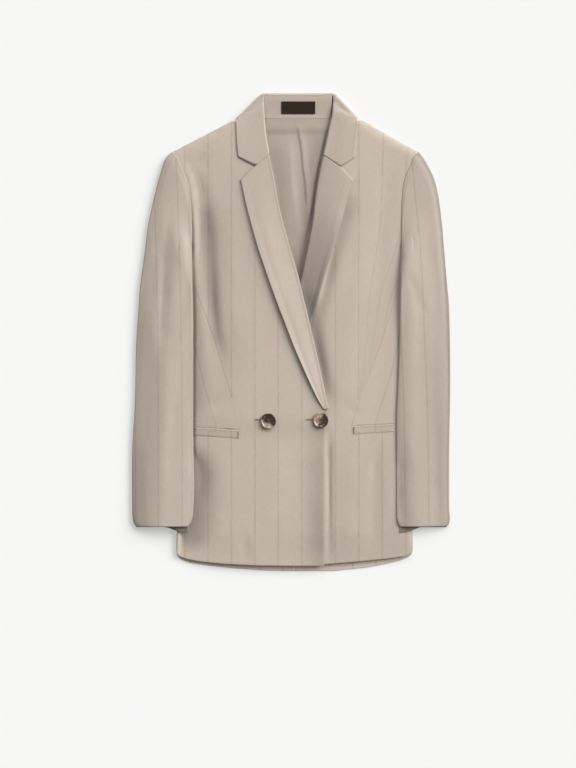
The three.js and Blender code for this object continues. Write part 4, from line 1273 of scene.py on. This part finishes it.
def lofted(rings, start, end):
    """Points and faces of a closed solid through rings of points, drawn to a point at each end."""
    count, sides = rings.shape[:2]
    last = (count - 1) * sides
    first_end = count * sides
    faces = []
    for k in range(0, last, sides):
        for s in range(sides):
            t = (s + 1) % sides
            faces.append([k + s, k + sides + s, k + sides + t, k + t])
    for s in range(sides):
        t = (s + 1) % sides
        faces += [[s, t, first_end], [last + t, last + s, first_end + 1]]
    return np.concatenate([rings.reshape(-1, 3), [start, end]]), faces


def circle(sides):
    angle = np.arange(sides) * 2 * math.pi / sides
    return np.cos(angle)[:, None], np.sin(angle)[:, None]


def tube(points, radius, sides=6, ends=0.55):
    """A closed tube along points with its ends drawn in."""
    points = np.asarray(points, float)
    tangent = unit(np.gradient(points, axis=0))
    side = unit(np.cross(tangent, [0.0, 0.0, 1.0]) + 1e-6)
    up = np.cross(side, tangent)
    radii = np.full(len(points), radius)
    radii[[0, -1]] *= ends
    c, s = circle(sides)
    ring = side[:, None] * c + up[:, None] * s
    return lofted(points[:, None] + ring * radii[:, None, None], points[0], points[-1])


def joined(parts):
    """One mesh from several: vertices, faces and a material number for each face."""
    verts, faces, slots = [], [], []
    start = 0
    for slot, (points, polygons) in parts:
        verts.append(points)
        faces += [[start + i for i in f] for f in polygons]
        slots += [slot] * len(polygons)
        start += len(points)
    return np.concatenate(verts), faces, slots


def add_piece(name, parts, materials):
    verts, faces, slots = joined(parts)
    made = mesh_object(name, verts, faces, materials, slots)
    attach(made, "root")


def bar(a, b, lift, radius, steps=6):
    """A stitch from a to b that stands up in the middle."""
    t = np.linspace(0, 1, steps)[:, None]
    points = lerp(np.asarray(a, float), np.asarray(b, float), t)
    points[:, 2] += lift * np.sin(np.pi * t[:, 0])
    return tube(points, radius)


def cloth_top(side, x, y):
    return front_surface(side, x, y) + CLOTH / 2


HOLE_LENGTH = 24
HOLE_AT = {"outer": [255.6, 419.6], "inner": [306.8, 419.4]}
# Stitches beside the slit and round its closed end: where they start and end, their rise and their radius.
STITCH = {"step": 0.62, "start": 0.25, "end": 1.5, "lean": 0.1, "rise": 0.35, "radius": 0.26}
END_STITCH = {"start": 0.3, "end": (1.9, 1.75), "rise": 0.4, "radius": 0.28}
SUNK = 0.05  # stitches start this far down in the cloth


def make_buttonhole(name, gx, gy):
    x0, y0 = px(gx), py(gy)
    parts = []
    for k in range(int(HOLE_LENGTH / STITCH["step"])):
        x = x0 + k * STITCH["step"]
        for sign in (-1, 1):
            a, b = [x, y0 + sign * STITCH["start"]], [x + STITCH["lean"], y0 + sign * STITCH["end"]]
            z = [float(cloth_top("right", *p)) - SUNK for p in (a, b)]
            parts.append((0, bar([*a, z[0]], [*b, z[1]], STITCH["rise"], STITCH["radius"], 5)))
    near, far = END_STITCH["start"], END_STITCH["end"]
    for angle in np.radians(np.linspace(100, 260, 9)):
        c, s = math.cos(angle), math.sin(angle)
        a, b = [x0 + near * c, y0 + near * s], [x0 + far[0] * c, y0 + far[1] * s]
        z = float(cloth_top("right", *a)) - SUNK
        parts.append((0, bar([*a, z], [*b, z], END_STITCH["rise"], END_STITCH["radius"], 5)))
    # The dark tube along the cut is painted shadow in the slit.
    slit_xs = x0 + np.linspace(0, HOLE_LENGTH - 1, 24)
    slit = [[x, y0, float(cloth_top("right", x, y0)) + 0.02] for x in slit_xs]
    parts.append((1, tube(slit, 0.2)))
    add_piece(f"buttonhole_{name}", parts, [HOLE_THREAD, SLIT_SHADOW])


for name, at in HOLE_AT.items():
    make_buttonhole(name, *at)


def disc_mesh(profile, holes, sides=72):
    """A turned disc with holes: radius, height rows from the middle underneath round to the middle on top."""
    (_, bottom), *rim, (_, top) = profile
    c, s = circle(sides)
    rings = [np.concatenate([r * c, r * s, np.full((sides, 1), z)], axis=1) for r, z in reversed(rim)]
    disc = mesh_object("turned_disc", *lofted(np.array(rings), [0, 0, top], [0, 0, bottom]), [HORN["outer"]])
    deep = BUTTON["thick"] + 2
    drills = [(0, tube([[x, y, -2], [x, y, deep]], BUTTON["hole"], sides=20, ends=1.0)) for x, y in holes]
    points, polygons, _ = joined(drills)
    cutter = mesh_object("drill", points, polygons, [HORN["outer"]])
    cut = disc.modifiers.new("holes", "BOOLEAN")
    cut.operation, cut.object, cut.solver = "DIFFERENCE", cutter, "EXACT"
    done = bpy.data.meshes.new_from_object(disc.evaluated_get(bpy.context.evaluated_depsgraph_get()))
    for o in (disc, cutter):
        bpy.data.objects.remove(o)
    return done


R, T, RIM = BUTTON["radius"], BUTTON["thick"], BUTTON["rim"]
PROFILE = [
    (0, 0), (R - 4, 0), (R - 1.8, 0.02), (R - 0.9, 0.25), (R - 0.3, 0.8), (R, 1.6), (R - 0.05, 2.3),
    (R - 0.3, T - 0.45), (R - 0.8, T - 0.1), (R - RIM * 0.75, T), (R - RIM * 1.1, T - 0.15),
    (R - RIM * 1.5, T - 0.6), (R - RIM * 1.9, T - 0.98), (R - RIM * 2.3, T - 1.12), (R - RIM * 3.2, T - 1.2),
    (R - RIM * 4.5, T - 1.25), (0, T - 1.3),
]
SPOT = BUTTON["hole_at"]
HOLES = [(a * SPOT, b * SPOT) for a in (1, -1) for b in (1, -1)]
BUTTON_MESH = disc_mesh(PROFILE, HOLES)
TWIST = {"outer": 8, "inner": -14}  # the holes are turned a little, as sewn by hand
STRAND = {"apart": 0.45, "reach": 1.12, "below_rim": 1.9}


def make_button(name, gx, gy):
    x, y = px(gx), py(gy)
    around = np.linspace(0, 2 * math.pi, 13)
    seat = float(front_surface("right", x + (R - 1) * np.cos(around), y + (R - 1) * np.sin(around)).max())
    seat += CLOTH / 2 + SEAM
    twist = math.radians(TWIST[name])
    c, s = math.cos(twist), math.sin(twist)
    mesh = BUTTON_MESH.copy()
    mesh.name = f"horn_button_{name}"
    mesh.materials.clear()
    mesh.materials.append(HORN[name])
    coords = np.empty(len(mesh.vertices) * 3)
    mesh.vertices.foreach_get("co", coords)
    a, b, up = coords.reshape(-1, 3).T
    mesh.vertices.foreach_set("co", stacked(a * c - b * s, a * s + b * c, up).ravel())
    mesh.polygons.foreach_set("use_smooth", [True] * len(mesh.polygons))
    mesh.set_sharp_from_angle(angle=math.radians(50))
    mesh.update()
    horn = bpy.data.objects.new(f"horn_button_{name}", mesh)
    horn.location = (x * MM, y * MM, seat * MM)
    bpy.context.scene.collection.objects.link(horn)
    bpy.context.view_layer.update()
    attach(horn, "root")
    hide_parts(f"button_{name}")
    parts = []
    for sign in (1, -1):
        for strand in (-STRAND["apart"], 0, STRAND["apart"]):
            ends = [(SPOT * e, sign * SPOT + strand) for e in (-STRAND["reach"], STRAND["reach"])]
            spun = [(x + a * c - b * s, y + a * s + b * c, seat + T - STRAND["below_rim"]) for a, b in ends]
            parts.append((0, bar(*spun, 1.0, 0.3, 9)))
    add_piece(f"button_stitches_{name}", parts, [THREAD])


for name, at in BUTTON_AT.items():
    make_button(name, *at)

# Small stitches hold each end of the label: how far in they are, their length, rise and radius.
LABEL_STITCH = {"in": 0.9, "from_end": 1.4, "length": 1.6, "rise": 0.22, "radius": 0.2}
parts = []
for gx in (LABEL["left"] + LABEL_STITCH["in"], LABEL["right"] - LABEL_STITCH["in"]):
    low, high = py(LABEL["bottom"]) + LABEL_STITCH["from_end"], py(LABEL["top"]) - LABEL_STITCH["from_end"]
    for k in range(7):
        x, y = px(gx), lerp(low, high, (k + 0.15) / 6.3)
        z = float(stand_height(x, y)) + CLOTH / 2 + SEAM + LABEL["thick"] - SUNK
        end = [x, y + LABEL_STITCH["length"], z + SUNK]
        parts.append((0, bar([x, y, z], end, LABEL_STITCH["rise"], LABEL_STITCH["radius"], 5)))
add_piece("label_stitches", parts, [LABEL_THREAD])

# A bar of satin stitches closes the end of each welt, from the welt down to the front beside it.
BAR = 1.0
ON_WELT = CLOTH * 1.5 + 0.55
parts = []
for side, end in (("right", 1), ("left", 0)):
    (gx, top), (_, bottom) = POCKET[side]["top"][end], POCKET[side]["bottom"][end]
    for gy in lerp(top + 0.6, bottom - 0.6, np.linspace(0, 1, 17)):
        x, y = px(gx), py(gy)
        z = [float(front_surface(side, x + d, y)) + up for d, up in ((-BAR, ON_WELT), (BAR, CLOTH / 2))]
        a, b = z if side == "right" else z[::-1]
        parts.append((0, bar([x - BAR, y, a], [x + BAR, y, b], 0.35, 0.24, 5)))
add_piece("welt_end_stitches", parts, [thread_material("cloth_thread", (0.47, 0.4, 0.335))])

for made, (width, length, area), rests_on in SHEETS:
    print(f"SHEET {made.name} {width:.3f} x {length:.3f} m, {area:.4f} m2")

# Stage, light and camera

HALF_FLOOR = 14.0
bpy.ops.mesh.primitive_plane_add(size=2 * HALF_FLOOR, location=(0, 0, -0.0004))
floor = bpy.context.object
floor.name = "studio_floor"
paper = Nodes("studio_paper")
floor.data.materials.append(paper.finish({
    "Base Color": (0.57, 0.57, 0.57, 1), "Emission Color": (1, 1, 1, 1), "Emission Strength": 0.345,
    "Roughness": 0.95, "Specular IOR Level": 0.0,
}))

scene = bpy.context.scene
scene.view_settings.view_transform = "Standard"
world = bpy.data.worlds.new("studio")
world.use_nodes = True
background = world.node_tree.nodes["Background"].inputs
background["Color"].default_value, background["Strength"].default_value = (1, 1, 1, 1), 0.26
scene.world = world


def soft_sun(name, energy, angle, azimuth, elevation):
    light = bpy.data.objects.new(name, bpy.data.lights.new(name, "SUN"))
    light.data.energy = energy
    light.data.angle = math.radians(angle)
    light.data.color = (1, 0.995, 0.985)
    azimuth, elevation = math.radians(azimuth), math.radians(elevation)
    level = math.cos(elevation)
    direction = Vector((math.cos(azimuth) * level, math.sin(azimuth) * level, math.sin(elevation)))
    light.rotation_mode = "QUATERNION"
    light.rotation_quaternion = direction.to_track_quat("Z", "Y")
    scene.collection.objects.link(light)


soft_sun("key_light", 3.35, 42, 32, 33)
soft_sun("top_light", 1.0, 30, 93, 35)

PHOTO = (576, 768)  # pixels
DISTANCE = 3.3
SENSOR = 36
camera = bpy.data.objects.new("camera", bpy.data.cameras.new("camera"))
camera.location = (px(PHOTO[0] / 2) * MM, py(PHOTO[1] / 2) * MM, DISTANCE)
camera.data.sensor_width = SENSOR
camera.data.lens = SENSOR * DISTANCE / (PHOTO[1] * GRID * MM)
camera.data.clip_start, camera.data.clip_end = 0.1, 60
scene.collection.objects.link(camera)
scene.camera = camera
